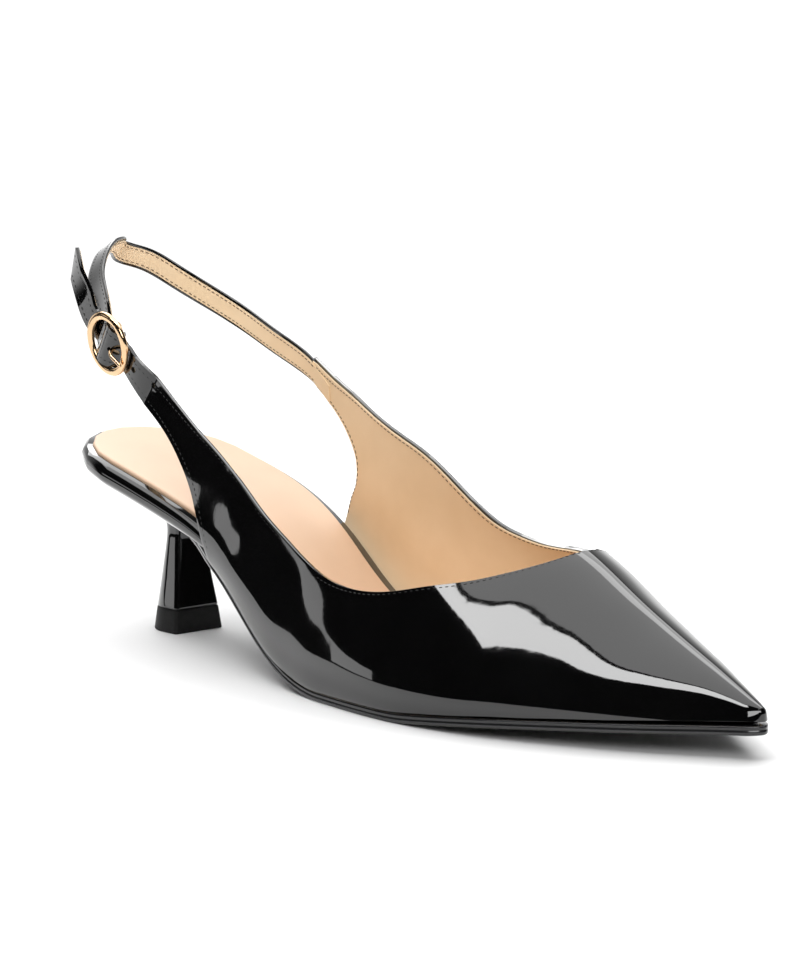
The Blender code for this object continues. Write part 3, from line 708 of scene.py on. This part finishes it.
# Edge of the sole with its groove: inset, and drop from its upper edge
SOLE_EDGE_SHAPE = (
    (0.0006, SOLE_THICKNESS), (0.00025, SOLE_THICKNESS - 0.0001),
    (0.00006, SOLE_THICKNESS - 0.00032), (0, SOLE_THICKNESS - 0.0006),
    (0, SOLE_THICKNESS * 0.52), (0.00016, SOLE_THICKNESS * 0.44),
    (0.00016, SOLE_THICKNESS * 0.36), (0, SOLE_THICKNESS * 0.28),
    (0.00002, 0.0003), (0.00012, 0.0001), (0.00035, 0),
)

# Rounded edges and the line between heel and wearing block
HEEL_EDGE = 0.0003
TIP_EDGE = 0.0004
TIP_LINE = 0.00015
TIP_LEVELS = (0, 0.33, 0.67, 1)
BEVEL_ANGLE = math.radians(60)
BEVEL_SEGMENTS = 3

# Buckle: roundness of the ring's band, bends of the bar, route and tip of the prong
BAND_ACROSS = 0.75
BAND_DEEP = 0.85
BAR_INSET = 0.75
BAR_SHOULDER = 0.85
BAR_FLAT = 0.88
BAR_STEPS = 60
PRONG_RISE = (0.23, 0.54)
PRONG_NEARLY = 0.6
PRONG_LEVEL = (0.80, 0.98)
PRONG_STEPS = 90
PRONG_TIP_START = 0.93
PRONG_TIP_SPAN = 0.071
PRONG_TIP_LEAST = 0.02
ROD_SIDES = 20

# Camera, worked out from the photo, and the point that it faces
CAMERA_AZIMUTH = 0.79524
CAMERA_ELEVATION = 0.10661
CAMERA_DISTANCE = 0.77987
CAMERA_TARGET = Vector((0.13965, 0.03620, 0.07816))
CAMERA_LENS = 126.1
SENSOR_WIDTH = 36.0
CLIP_START = 0.01
CLIP_END = 100.0
FRAME_MIDDLE = Vector((0.1345, -0.0026, 0.0548))
VIEW_AWAY = Vector((-math.sin(CAMERA_AZIMUTH), math.cos(CAMERA_AZIMUTH), 0))
VIEW_LEFT = Vector((-VIEW_AWAY.y, VIEW_AWAY.x, 0))

# Floor's corners: away from the camera and to its left, from the origin
FLOOR_CORNERS = ((-0.55, 0.45), (-0.55, -1.20), (1.15, -1.20), (1.15, 0.45))

# Grey of the room by height behind the shoe, its dark side and the fade between them
WORLD_STEPS = ((0, 1), (0.14, 0.96), (0.3, 0.55), (0.5, 0.36), (0.6, 0.3), (0.72, 0.05))
WORLD_DARK = 0.012
WORLD_FADE = (0.33, 0.55)
WORLD_STRENGTH = 1.12

# Level lamps that face down
CEILING_SPIN = math.radians(40.5)
CEILING_LAMPS = (
    # name, place, length, width, radiance
    ("top_box", (-0.19, -0.06, 1.3), 1.9, 1.15, 2.15),
    ("shoulder_strip", (-0.05, -0.9, 1.3), 1.3, 0.235, 9.5),
)

# Lamps that face a point
AIMED_LAMPS = (
    # name, place, aim, width, height, radiance
    ("back_box", (-0.95, 0.34, 0.9), (0, 0, 0.03), 0.9, 0.6, 3),
    ("front_fill", (1.1, -0.68, 0.78), (0, 0, 0.05), 0.8, 0.6, 6),
    ("side_card", (-2.4, -1.95, 0.14), (-0.1, -0.02, 0.14), 0.53, 0.32, 1.6),
    ("floor_wash", (-0.8, 0.78, 1.1), (-0.8, 0.78, 0), 2.6, 0.7, 3),
)

# Materials: two tones with the scale of their patches, bumps and their full height
MATERIALS = {
    # name: colour, roughness, light tone, dark tone, patches,
    # bumps as (scale, detail, strength), height, other sockets
    "patent_leather": (
        (0.0015, 0.0015, 0.0016), 0.045, (0.0018, 0.0018, 0.0019), (0.0011, 0.0011, 0.0012), 60,
        ((48, 2, 0.06), (150, 2, 0.018), (420, 2, 0.006)), 0.001,
        {"Coat Weight": 0.55, "Coat Roughness": 0.012, "Coat IOR": 1.5},
    ),
    "tan_lining": (
        (0.86, 0.66, 0.43), 0.58, (0.885, 0.685, 0.455), (0.83, 0.63, 0.4), 55,
        ((900, 4, 0.06), (2600, 2, 0.04)), 0.0003, {},
    ),
    "peach_sock": (
        (0.65, 0.455, 0.31), 0.5, (0.66, 0.465, 0.32), (0.635, 0.44, 0.3), 45,
        ((1100, 4, 0.08), (3000, 2, 0.06)), 0.0004, {},
    ),
    "sole_black": (
        (0.01, 0.01, 0.011), 0.22, (0.012, 0.012, 0.013), (0.008, 0.008, 0.009), 90,
        ((700, 3, 0.05),), 0.001, {"Coat Weight": 0.3, "Coat Roughness": 0.08},
    ),
    "tip_rubber": (
        (0.008, 0.008, 0.008), 0.55, (0.01, 0.01, 0.01), (0.006, 0.006, 0.006), 300,
        ((1500, 4, 0.18),), 0.0005, {"Specular IOR Level": 0.2},
    ),
    "rose_gold": (
        (0.78, 0.54, 0.32), 0.13, (0.81, 0.565, 0.34), (0.74, 0.505, 0.295), 150,
        ((600, 2, 0.02),), 0.001, {"Metallic": 1},
    ),
    "dark_thread": (
        (0.01, 0.01, 0.01), 0.65, (0.0115, 0.0115, 0.0115), (0.008, 0.008, 0.008), 800,
        ((5000, 2, 0.3),), 0.0002, {},
    ),
    "brown_thread": (
        (0.1, 0.055, 0.03), 0.65, (0.115, 0.06325, 0.0345), (0.08, 0.044, 0.024), 800,
        ((5000, 2, 0.3),), 0.0002, {},
    ),
    "pale_floor": (
        (0.86, 0.86, 0.86), 0.75, (0.865, 0.865, 0.865), (0.855, 0.855, 0.855), 6,
        ((260, 3, 0.02),), 0.001, {},
    ),
}
TONE_DETAIL = 4
DARK_END = 0.35
LIGHT_START = 0.65


# Shared steps of mesh building


def add_object(name, data):
    obj = bpy.data.objects.new(name, data)
    bpy.context.scene.collection.objects.link(obj)
    return obj


def mesh_object(name, bm, material=None):
    mesh = bpy.data.meshes.new(name)
    bm.to_mesh(mesh)
    bm.free()
    if material:
        mesh.materials.append(material)
    return add_object(name, mesh)


def to_origin(bm):
    for vert in bm.verts:
        vert.co -= ORIGIN


def smooth_object(name, bm, material):
    """A smooth object made from a bmesh, moved to the row's origin."""
    to_origin(bm)
    obj = mesh_object(name, bm, material)
    obj.data.shade_smooth()
    return obj


def piece(obj, replaced=None):
    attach(obj, "root")
    if replaced:
        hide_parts(replaced)


def sharpen(obj, degrees=50):
    obj.data.set_sharp_from_angle(angle=math.radians(degrees))


def apply_modifiers(obj):
    bpy.context.view_layer.update()
    graph = bpy.context.evaluated_depsgraph_get()
    mesh = bpy.data.meshes.new_from_object(obj.evaluated_get(graph))
    obj.modifiers.clear()
    obj.data = mesh


def add_bevel(obj, width):
    edge = obj.modifiers.new("edge", "BEVEL")
    edge.width = width
    edge.segments = BEVEL_SEGMENTS
    edge.limit_method = "ANGLE"
    edge.angle_limit = BEVEL_ANGLE


def bridge(bm, rings):
    """Faces between each closed ring of verts and the next one."""
    for lower, upper in zip(rings, rings[1:]):
        for k in range(len(lower)):
            n = (k + 1) % len(lower)
            bm.faces.new((lower[k], lower[n], upper[n], upper[k]))


def round_ring(bm, centre, side, other, radius, count):
    """Verts round a centre, in the plane of two directions."""
    ring = []
    for k in range(count):
        angle = math.tau * k / count
        out = side * math.cos(angle) + other * math.sin(angle)
        ring.append(bm.verts.new(centre + out * radius))
    return ring


def close_tube(bm, rings):
    bridge(bm, rings)
    bm.faces.new(rings[0][::-1])
    bm.faces.new(rings[-1])


def reader(knots, values):
    """Vectors along a run, read by the length at which they lie."""
    columns = np.array(values, dtype=float).T
    return lambda place: Vector([np.interp(place, knots, column) for column in columns])


def layer(name, sheets, start, depth, material, bevel=0.0):
    """A wall that starts at a distance outside the sheets and has its own depth."""
    bm = bmesh.new()
    for rows, flip in sheets:
        grid = [[bm.verts.new(point) for point in row] for row in rows]
        for lower, upper in zip(grid, grid[1:]):
            for k in range(len(lower) - 1):
                corners = [lower[k], lower[k + 1], upper[k + 1], upper[k]]
                bm.faces.new(corners[::-1] if flip else corners)
    bmesh.ops.remove_doubles(bm, verts=bm.verts, dist=MERGE_DISTANCE)
    bmesh.ops.dissolve_degenerate(bm, edges=bm.edges, dist=MERGE_DISTANCE)
    bm.normal_update()
    shifts = [vert.normal * start for vert in bm.verts]
    for vert, shift in zip(bm.verts, shifts):
        vert.co += shift
    obj = smooth_object(name, bm, material)
    wall = obj.modifiers.new("wall", "SOLIDIFY")
    wall.thickness = depth
    wall.offset = 1
    wall.use_quality_normals = True
    if bevel:
        add_bevel(obj, bevel)
    apply_modifiers(obj)
    sharpen(obj)
    return obj


def vectors_of(items, name):
    values = np.zeros(len(items) * 3)
    items.foreach_get(name, values)
    return values.reshape(-1, 3)


def wavy(obj, amount, size, seed):
    """Slight unevenness of a glued leather skin, which its reflections show."""
    mesh = obj.data
    places = vectors_of(mesh.vertices, "co")
    normals = vectors_of(mesh.vertex_normals, "vector")
    shift = WAVE_SHIFT * seed
    lifts = [noise.noise(Vector(place) / size + shift) for place in places]
    places += normals * (amount * np.array(lifts))[:, None]
    mesh.vertices.foreach_set("co", places.ravel())
    mesh.update()


def trimmed(row, low, high):
    """The row with a length cut off at its first and last ends, same count."""
    knots = length_knots(row)
    if knots[-1] < low + high + SHORTEST_ROW:
        low = high = max((knots[-1] - SHORTEST_ROW / 2) / 4, 0)
    read = reader(knots, row)
    places = low + (knots[-1] - low - high) * np.linspace(0, 1, len(row))
    return [read(place) for place in places]


# Upper


FIRST_FREE_TOP = NOSE_STEPS + VAMP_STEPS
FIRST_FREE_BACK = FIRST_FREE_TOP + QUARTER_STEPS


def fill_buckle(rows):
    """The strap squeezes out sideways where it bulges inside the ring."""
    centre, s_axis, _, n_axis = buckle_axes()
    inner = BUCKLE_LENGTH / 2 - BUCKLE_BAND
    filled = []
    for row in rows:
        middle = (row[0] + row[-1]) / 2
        along = (middle - centre).dot(s_axis)
        depth = abs((middle - centre).dot(n_axis))
        half = (row[-1] - row[0]).length / 2
        room = 0.0
        if abs(along) < inner and depth < inner:
            room = inner * math.sqrt(1 - (along / inner) ** 2) - RING_ROOM
        wider = max(room / half, 1.0)
        filled.append([middle + (point - middle) * wider for point in row])
    return filled


def upper_rows():
    """Rows of the upper's inner face on both sides, from the toe back to their ends."""
    lateral = skin_rows(LATERAL, LATERAL_TOPLINE, LATERAL_BACK, LATERAL_SPLIT)
    lateral += fill_buckle(tab_rows(lateral[-1]))
    medial = skin_rows(MEDIAL, MEDIAL_TOPLINE, MEDIAL_BACK, MEDIAL_SPLIT)
    return lateral, medial


def lining_rows(rows):
    """The rows a little short of each free edge."""
    short = []
    for k, row in enumerate(rows):
        top = LINING_TRIM if k >= FIRST_FREE_TOP else 0.0
        low = LINING_TRIM if k > FIRST_FREE_BACK else 0.0
        short.append(trimmed(row, low, top))
    return short


def hole_cutters():
    """Rods at the two punched holes and, drawn out along the strap, at the prong's slot."""
    first = BUCKLE_LENGTH / 2 * RIM_OUTER + HOLE_DIAMETER
    slot = BAR_DIAMETER / 2 + GAP + SLOT_AHEAD
    places = ((first, HOLE_DIAMETER / 2, 0), (first + HOLE_PITCH, HOLE_DIAMETER / 2, 0),
              (slot, PRONG_DIAMETER / 2 + GAP, SLOT_STRETCH))
    axes = buckle_axes()[1:]
    made = []
    for front, radius, stretch in places:
        bm = bmesh.new()
        turn = Matrix(axes).transposed().to_4x4()
        turn.translation = in_buckle(-front, 0, -CUTTER_SINK)
        rod = bmesh.ops.create_cone(bm, cap_ends=True, segments=CUTTER_SIDES, radius1=radius,
                                    radius2=radius, depth=CUTTER_DEPTH, matrix=turn)
        for vert in rod["verts"]:
            offset = (vert.co - turn.translation).dot(axes[0])
            vert.co += axes[0] * math.copysign(stretch, offset)
        bmesh.ops.recalc_face_normals(bm, faces=bm.faces)
        to_origin(bm)
        made.append(mesh_object("cutter", bm))
    return made


def make_upper(lateral, medial, patent, lining):
    sheets = [(lateral, False), (medial, True)]
    depth = UPPER_WALL - PATENT_START
    obj = layer("upper_patent", sheets, PATENT_START, depth, patent, EDGE_ROUND)
    cutters = hole_cutters()
    for cutter in cutters:
        cut = obj.modifiers.new("cut", "BOOLEAN")
        cut.operation = "DIFFERENCE"
        cut.solver = "EXACT"
        cut.object = cutter
    apply_modifiers(obj)
    for cutter in cutters:
        bpy.data.objects.remove(cutter)
    wavy(obj, *UPPER_WAVES)
    sharpen(obj, 55)
    piece(obj, "upper")
    short = [(lining_rows(rows), flip) for rows, flip in sheets]
    piece(layer("upper_lining", short, 0.0, LINING_DEPTH, lining))


# Sling strap


def sling_rows():
    """Rows across the sling strap's inner face, with its twist evened out."""
    data = [(*centre, *across) for centre, across in sling_path()]
    values = np.array(sample(data, SLING_PITCH))
    turned = values[:, 3:6].copy()
    for k in range(TWIST_REACH, len(values) - TWIST_END):
        turned[k] = values[k - TWIST_REACH:k + TWIST_REACH + 1, 3:6].mean(axis=0)
    rows = []
    for place, turn in zip(values[:, :3], turned):
        across = Vector(turn).normalized() * STRAP_WIDTH / 2
        rows.append(strap_row(Vector(place), across, SLING_COLUMNS))
    return rows


def make_sling(rows, patent, lining):
    depth = STRAP_WALL - SLING_PATENT_START
    obj = layer("sling_patent", [(rows, True)], SLING_PATENT_START, depth, patent, EDGE_ROUND)
    wavy(obj, *SLING_WAVES)
    piece(obj, "sling_strap")
    short = [trimmed(row, LINING_TRIM, LINING_TRIM) for row in rows]
    back = layer("sling_lining", [(short, True)], 0.0, SLING_LINING_DEPTH, lining)
    piece(back)


# Stitches


def row_at(row, distance):
    """A point at a distance from a row's last end, or below 0 from its first, and its direction."""
    knots = length_knots(row)
    read = reader(knots, row)
    place = knots[-1] - distance if distance >= 0 else -distance
    return read(place), (read(place + ROW_STEP) - read(place - ROW_STEP)).normalized()


def stitch_path(rows, distance, flip):
    """Points and sheet normals of a line of stitches that keeps its distance from an edge."""
    places = [row_at(row, distance) for row in rows]
    run = []
    for k, (at, up) in enumerate(places):
        along = places[min(k + 1, len(places) - 1)][0] - places[max(k - 1, 0)][0]
        normal = up.cross(along) if flip else along.cross(up)
        if normal.length > 0:
            run.append((at, normal.normalized()))
    return run


def add_stitch(bm, start, end, normal):
    along = (end - start).normalized()
    side = along.cross(normal).normalized()
    rings = []
    for share, size, drop in STITCH_SHAPE:
        centre = start + (end - start) * share - normal * STITCH_RADIUS * drop
        radius = STITCH_RADIUS * size
        rings.append(round_ring(bm, centre, side, normal, radius, STITCH_SIDES))
    close_tube(bm, rings)


def stitches(name, runs, lift, material):
    """Short round stitches along each run, lifted outward from the inner face."""
    bm = bmesh.new()
    for run in runs:
        points = [at + normal * lift for at, normal in run]
        knots = length_knots(points)
        read = reader(knots, points)
        read_normal = reader(knots, [normal for _, normal in run])
        count = int(knots[-1] / STITCH_PITCH)
        for k in range(count):
            place = (k + 0.5) * knots[-1] / count
            start = read(place - STITCH_LENGTH / 2)
            end = read(place + STITCH_LENGTH / 2)
            add_stitch(bm, start, end, read_normal(place).normalized())
    piece(smooth_object(name, bm, material))


def make_stitches(lateral, medial, strap):
    upper_runs = []
    for first, inset in ((FIRST_FREE_TOP, STITCH_INSET), (FIRST_FREE_BACK + 2, -STITCH_INSET)):
        upper_runs.append(stitch_path(lateral[first:], inset, True))
        upper_runs.append(stitch_path(medial[first:], inset, False))
    insets = (SLING_STITCH_INSET, -SLING_STITCH_INSET)
    sling_runs = [stitch_path(strap[SLING_STITCHED], inset, False) for inset in insets]
    dark = make_material("dark_thread")
    brown = make_material("brown_thread")
    for name, runs, wall in (("upper", upper_runs, UPPER_WALL), ("sling", sling_runs, STRAP_WALL)):
        stitches(name + "_stitches_outside", runs, wall, dark)
        stitches(name + "_stitches_inside", runs, -STITCH_PROUD, brown)


# Bottom of the shoe


def slab(name, loop, levels, material):
    """A plate with the given plan, finely stepped: each level is an inset and a height."""
    bm = bmesh.new()
    rings = []
    for inset, height in levels:
        rings.append([bm.verts.new((p.x, p.y, height(p.x))) for p in inset_loop(loop, inset)])
    bridge(bm, rings)
    for ring, down in ((rings[0], True), (rings[-1], False)):
        for k in range(len(loop) // 2):
            corners = list(dict.fromkeys((ring[k], ring[k + 1], ring[-k - 1], ring[-k])))
            bm.faces.new(corners[::-1] if down else corners)
    obj = smooth_object(name, bm, material)
    sharpen(obj)
    return obj


def make_board(material):
    xs = stations(0, BOARD_TIP, SEAT_RADIUS, NOSE_LENGTH)
    loop = outline_loop(xs, 0, BOARD_TIP)
    profile = spline(BOARD_EDGE_SHAPE)

    def level(share):
        return lambda x: board_bottom(x) + share * (board_top(x) - board_bottom(x))

    def edge(share):
        inset = profile(share)[0] * BOARD_ROUND
        return lambda x: inset * read_seat(x / LAST_LENGTH)[1]

    shares = [k / BOARD_LEVELS for k in range(BOARD_LEVELS + 1)]
    levels = [(edge(share), level(share)) for share in shares]
    piece(slab("seat_board", loop, levels, material), "insole_board")


def make_sock(material):
    xs = stations(SOCK_INSET, SOCK_END, SEAT_RADIUS - SOCK_INSET, NOSE_LENGTH)
    loop = outline_loop(xs, -SOCK_INSET, SOCK_END)
    depth = SOCK_THICKNESS + GAP - SOCK_LIFT
    radius = depth * (1 - SOCK_SIDE)

    def level(height):
        return lambda x: board_top(x) + SOCK_LIFT + height

    levels = [(even(0), level(0))]
    for k in range(SOCK_ROUND_STEPS + 1):
        turn = math.pi / 2 * k / SOCK_ROUND_STEPS
        rise = depth * SOCK_SIDE + radius * math.sin(turn)
        levels.append((even(radius * (1 - math.cos(turn))), level(rise)))
    piece(slab("seat_sock", loop, levels, material), "insole_sock")


def make_outsole(material):
    xs = stations(SOLE_BACK, LAST_LENGTH, SOLE_BACK_ROUND, NOSE_LENGTH)

    def shrink(x):
        share = read_waist(x / LAST_LENGTH)[0]
        ahead = max(SOLE_BACK + SOLE_BACK_ROUND - x, 0) / SOLE_BACK_ROUND
        return share * math.sqrt(max(1 - ahead ** 2, 0))

    def level(drop):
        return lambda x: feather(x) - drop

    loop = outline_loop(xs, UPPER_WALL + GAP, LAST_LENGTH, shrink)
    levels = [(even(inset), level(drop)) for inset, drop in SOLE_EDGE_SHAPE]
    piece(slab("sole_plate", loop, levels, material), "outsole")


# Heel


def heel_ring(share):
    """The heel's section at a share of its height; its top follows the seat's slope."""
    middle = feather(HEEL_CENTRE)
    return [Vector((x, y, middle * share + (feather(x) - middle) * share ** 4))
            for x, y in heel_section(share)]


def heel_piece(name, shares, bevel, material, replaced):
    bm = bmesh.new()
    rings = [[bm.verts.new(point) for point in heel_ring(share)] for share in shares]
    close_tube(bm, rings)
    bmesh.ops.recalc_face_normals(bm, faces=bm.faces)
    obj = smooth_object(name, bm, material)
    add_bevel(obj, bevel)
    apply_modifiers(obj)
    sharpen(obj, 45)
    piece(obj, replaced)


def make_heel(patent, rubber):
    height = feather(HEEL_CENTRE)
    start = (TIP_THICKNESS + TIP_LINE) / height
    shares = [start + (1 - start) * k / HEEL_LEVELS for k in range(HEEL_LEVELS + 1)]
    heel_piece("heel_cover", shares, HEEL_EDGE, patent, "heel")
    end = TIP_THICKNESS / height
    shares = [end * share for share in TIP_LEVELS]
    heel_piece("heel_block", shares, TIP_EDGE, rubber, "heel_tip")


# Buckle


def add_rod(bm, points, radius_at):
    """A rod through points whose radius is a function of the share of its length."""
    rings = []
    last = len(points) - 1
    side = None
    for k, point in enumerate(points):
        along = (points[min(k + 1, last)] - points[max(k - 1, 0)]).normalized()
        if side is None:
            side = along.orthogonal().normalized()
        side = (side - along * side.dot(along)).normalized()
        radius = radius_at(k / last)
        rings.append(round_ring(bm, point, side, along.cross(side), radius, ROD_SIDES))
    close_tube(bm, rings)


def buckle_run(points, steps):
    """A smooth run through points that lie in the buckle's own directions."""
    read = path([in_buckle(*point) for point in points])
    return [Vector(read(k / steps)) for k in range(steps + 1)]


def signed_power(value, power):
    return math.copysign(abs(value) ** power, value)


def make_buckle(metal):
    bm = bmesh.new()
    mean_s = (BUCKLE_LENGTH - BUCKLE_BAND) / 2
    mean_w = (BUCKLE_HEIGHT - BUCKLE_BAND) / 2
    rings = []
    for k in range(RING_STEPS):
        angle = math.tau * k / RING_STEPS
        ring = []
        for j in range(BAND_STEPS):
            turn = math.tau * j / BAND_STEPS
            reach = BUCKLE_BAND / 2 * signed_power(math.cos(turn), BAND_ACROSS)
            deep = BUCKLE_THICKNESS / 2 * signed_power(math.sin(turn), BAND_DEEP)
            back = (mean_s + reach) * math.cos(angle)
            across = (mean_w + reach) * math.sin(angle)
            ring.append(bm.verts.new(in_buckle(back, across, deep)))
        rings.append(ring)
    bridge(bm, rings + rings[:1])
    bmesh.ops.recalc_face_normals(bm, faces=bm.faces)
    bend = mean_w - BUCKLE_BAND * BAR_INSET
    half = [(mean_w, 0), (bend, -BAR_DROP * BAR_SHOULDER), (bend * BAR_FLAT, -BAR_DROP)]
    route = [(0, -across, out) for across, out in half]
    route += [(0, across, out) for across, out in half[::-1]]
    add_rod(bm, buckle_run(route, BAR_STEPS), lambda share: BAR_DIAMETER / 2)
    piece(smooth_object("buckle_ring", bm, metal), "buckle_frame")


def make_prong(metal):
    reach = BUCKLE_LENGTH / 2
    radius = PRONG_DIAMETER / 2
    rest = BUCKLE_THICKNESS / 2 + GAP + radius
    start = BAR_DIAMETER / 2 + GAP + radius
    route = (
        (-start, 0, -BAR_DROP),
        (-start - PRONG_BEND * PRONG_RISE[0], 0, -BAR_DROP / 2),
        (-start - PRONG_BEND * PRONG_RISE[1], 0, rest * PRONG_NEARLY),
        (-start - PRONG_BEND, 0, rest),
        (-reach * PRONG_LEVEL[0], 0, rest),
        (-reach * PRONG_LEVEL[1], 0, rest),
    )

    def radius_at(share):
        past = max(share - PRONG_TIP_START, 0) / PRONG_TIP_SPAN
        return radius * math.sqrt(max(1 - past ** 2, PRONG_TIP_LEAST))

    bm = bmesh.new()
    add_rod(bm, buckle_run(route, PRONG_STEPS), radius_at)
    piece(smooth_object("buckle_pin", bm, metal), "buckle_prong")


# Materials


def add(tree, kind, **settings):
    node = tree.nodes.new(kind)
    for key, value in settings.items():
        if key in node.inputs:
            node.inputs[key].default_value = value
        else:
            setattr(node, key, value)
    return node


def add_noise(tree, coords, scale, detail):
    texture = add(tree, "ShaderNodeTexNoise", Scale=scale, Detail=detail)
    tree.links.new(coords.outputs["Object"], texture.inputs["Vector"])
    return texture.outputs["Fac"]


def add_bumps(tree, shader, coords, bumps, height):
    """Bump from noise layers, each with a scale, a detail and a strength."""
    before = None
    for scale, detail, strength in bumps:
        bump = add(tree, "ShaderNodeBump", Strength=strength, Distance=height)
        tree.links.new(add_noise(tree, coords, scale, detail), bump.inputs["Height"])
        if before:
            tree.links.new(before.outputs["Normal"], bump.inputs["Normal"])
        before = bump
    tree.links.new(before.outputs["Normal"], shader.inputs["Normal"])


def add_tones(tree, shader, coords, light, dark, scale):
    """Two tones blended by noise."""
    ramp = add(tree, "ShaderNodeValToRGB")
    ends = ((DARK_END, dark), (LIGHT_START, light))
    for step, (place, colour) in zip(ramp.color_ramp.elements, ends):
        step.position = place
        step.color = (*colour, 1)
    tree.links.new(add_noise(tree, coords, scale, TONE_DETAIL), ramp.inputs["Fac"])
    tree.links.new(ramp.outputs["Color"], shader.inputs["Base Color"])


def make_material(name):
    colour, roughness, light, dark, patches, bumps, height, sockets = MATERIALS[name]
    material = bpy.data.materials.new(name)
    material.use_nodes = True
    tree = material.node_tree
    shader = tree.nodes["Principled BSDF"]
    shader.inputs["Base Color"].default_value = (*colour, 1)
    shader.inputs["Roughness"].default_value = roughness
    for key, value in sockets.items():
        shader.inputs[key].default_value = value
    coords = add(tree, "ShaderNodeTexCoord")
    add_bumps(tree, shader, coords, bumps, height)
    add_tones(tree, shader, coords, light, dark, patches)
    return material


# Studio


def make_floor():
    """A pale plate, square to the view, that ends beside and behind the shoe."""
    bm = bmesh.new()
    corners = [VIEW_AWAY * away + VIEW_LEFT * left for away, left in FLOOR_CORNERS]
    bm.faces.new([bm.verts.new(corner) for corner in corners])
    bmesh.ops.recalc_face_normals(bm, faces=bm.faces)
    floor = mesh_object("floor", bm, make_material("pale_floor"))


def make_world():
    """White low down behind the shoe, greyer higher up, and a dark room elsewhere."""
    world = bpy.data.worlds.new("studio")
    world.use_nodes = True
    bpy.context.scene.world = world
    tree = world.node_tree
    link = tree.links.new
    coords = add(tree, "ShaderNodeTexCoord")
    dot = add(tree, "ShaderNodeVectorMath", operation="DOT_PRODUCT")
    dot.inputs[1].default_value = VIEW_AWAY
    link(coords.outputs["Generated"], dot.inputs[0])
    side = add(tree, "ShaderNodeMapRange", interpolation_type="SMOOTHSTEP")
    side.inputs["From Min"].default_value = WORLD_FADE[0]
    side.inputs["From Max"].default_value = WORLD_FADE[1]
    link(dot.outputs["Value"], side.inputs["Value"])
    parts = add(tree, "ShaderNodeSeparateXYZ")
    link(coords.outputs["Generated"], parts.inputs["Vector"])
    ramp = add(tree, "ShaderNodeValToRGB")
    steps = ramp.color_ramp.elements
    while len(steps) < len(WORLD_STEPS):
        steps.new(0.5)
    for step, (place, grey) in zip(steps, WORLD_STEPS):
        step.position = place
        step.color = (grey, grey, grey, 1)
    link(parts.outputs["Z"], ramp.inputs["Fac"])
    mix = add(tree, "ShaderNodeMix", data_type="RGBA")
    mix.inputs["A"].default_value = (WORLD_DARK, WORLD_DARK, WORLD_DARK, 1)
    link(side.outputs["Result"], mix.inputs["Factor"])
    link(ramp.outputs["Color"], mix.inputs["B"])
    background = tree.nodes["Background"]
    link(mix.outputs["Result"], background.inputs["Color"])
    background.inputs["Strength"].default_value = WORLD_STRENGTH


def area_light(name, place, width, height, radiance):
    """A rectangular lamp that faces down; its power follows from its radiance."""
    data = bpy.data.lights.new(name, "AREA")
    data.shape = "RECTANGLE"
    data.size = width
    data.size_y = height
    data.energy = radiance * width * height * math.pi
    lamp = add_object(name, data)
    lamp.location = place
    return lamp


def aim_along(obj, direction):
    obj.rotation_euler = direction.to_track_quat("-Z", "Y").to_euler()


def make_lamps():
    for name, place, length, width, radiance in CEILING_LAMPS:
        area_light(name, place, length, width, radiance).rotation_euler.z = CEILING_SPIN
    for name, place, aim, width, height, radiance in AIMED_LAMPS:
        lamp = area_light(name, place, width, height, radiance)
        aim_along(lamp, Vector(aim) - Vector(place))


def set_camera():
    data = bpy.data.cameras.new("camera")
    data.sensor_fit = "HORIZONTAL"
    data.sensor_width = SENSOR_WIDTH
    data.lens = CAMERA_LENS
    data.clip_start = CLIP_START
    data.clip_end = CLIP_END
    back = -VIEW_AWAY * math.cos(CAMERA_ELEVATION)
    back.z = math.sin(CAMERA_ELEVATION)
    camera = add_object("camera", data)
    camera.location = CAMERA_TARGET + back * CAMERA_DISTANCE - ORIGIN
    aim_along(camera, FRAME_MIDDLE - ORIGIN - camera.location)
    bpy.context.scene.camera = camera


def main():
    patent = make_material("patent_leather")
    lining = make_material("tan_lining")
    metal = make_material("rose_gold")
    lateral, medial = upper_rows()
    strap = sling_rows()
    make_upper(lateral, medial, patent, lining)
    make_sling(strap, patent, lining)
    make_stitches(lateral, medial, strap)
    make_board(patent)
    make_sock(make_material("peach_sock"))
    make_outsole(make_material("sole_black"))
    make_heel(patent, make_material("tip_rubber"))
    make_buckle(metal)
    make_prong(metal)
    make_floor()
    make_world()
    make_lamps()
    set_camera()
    bpy.context.scene.view_settings.view_transform = "Standard"


main()
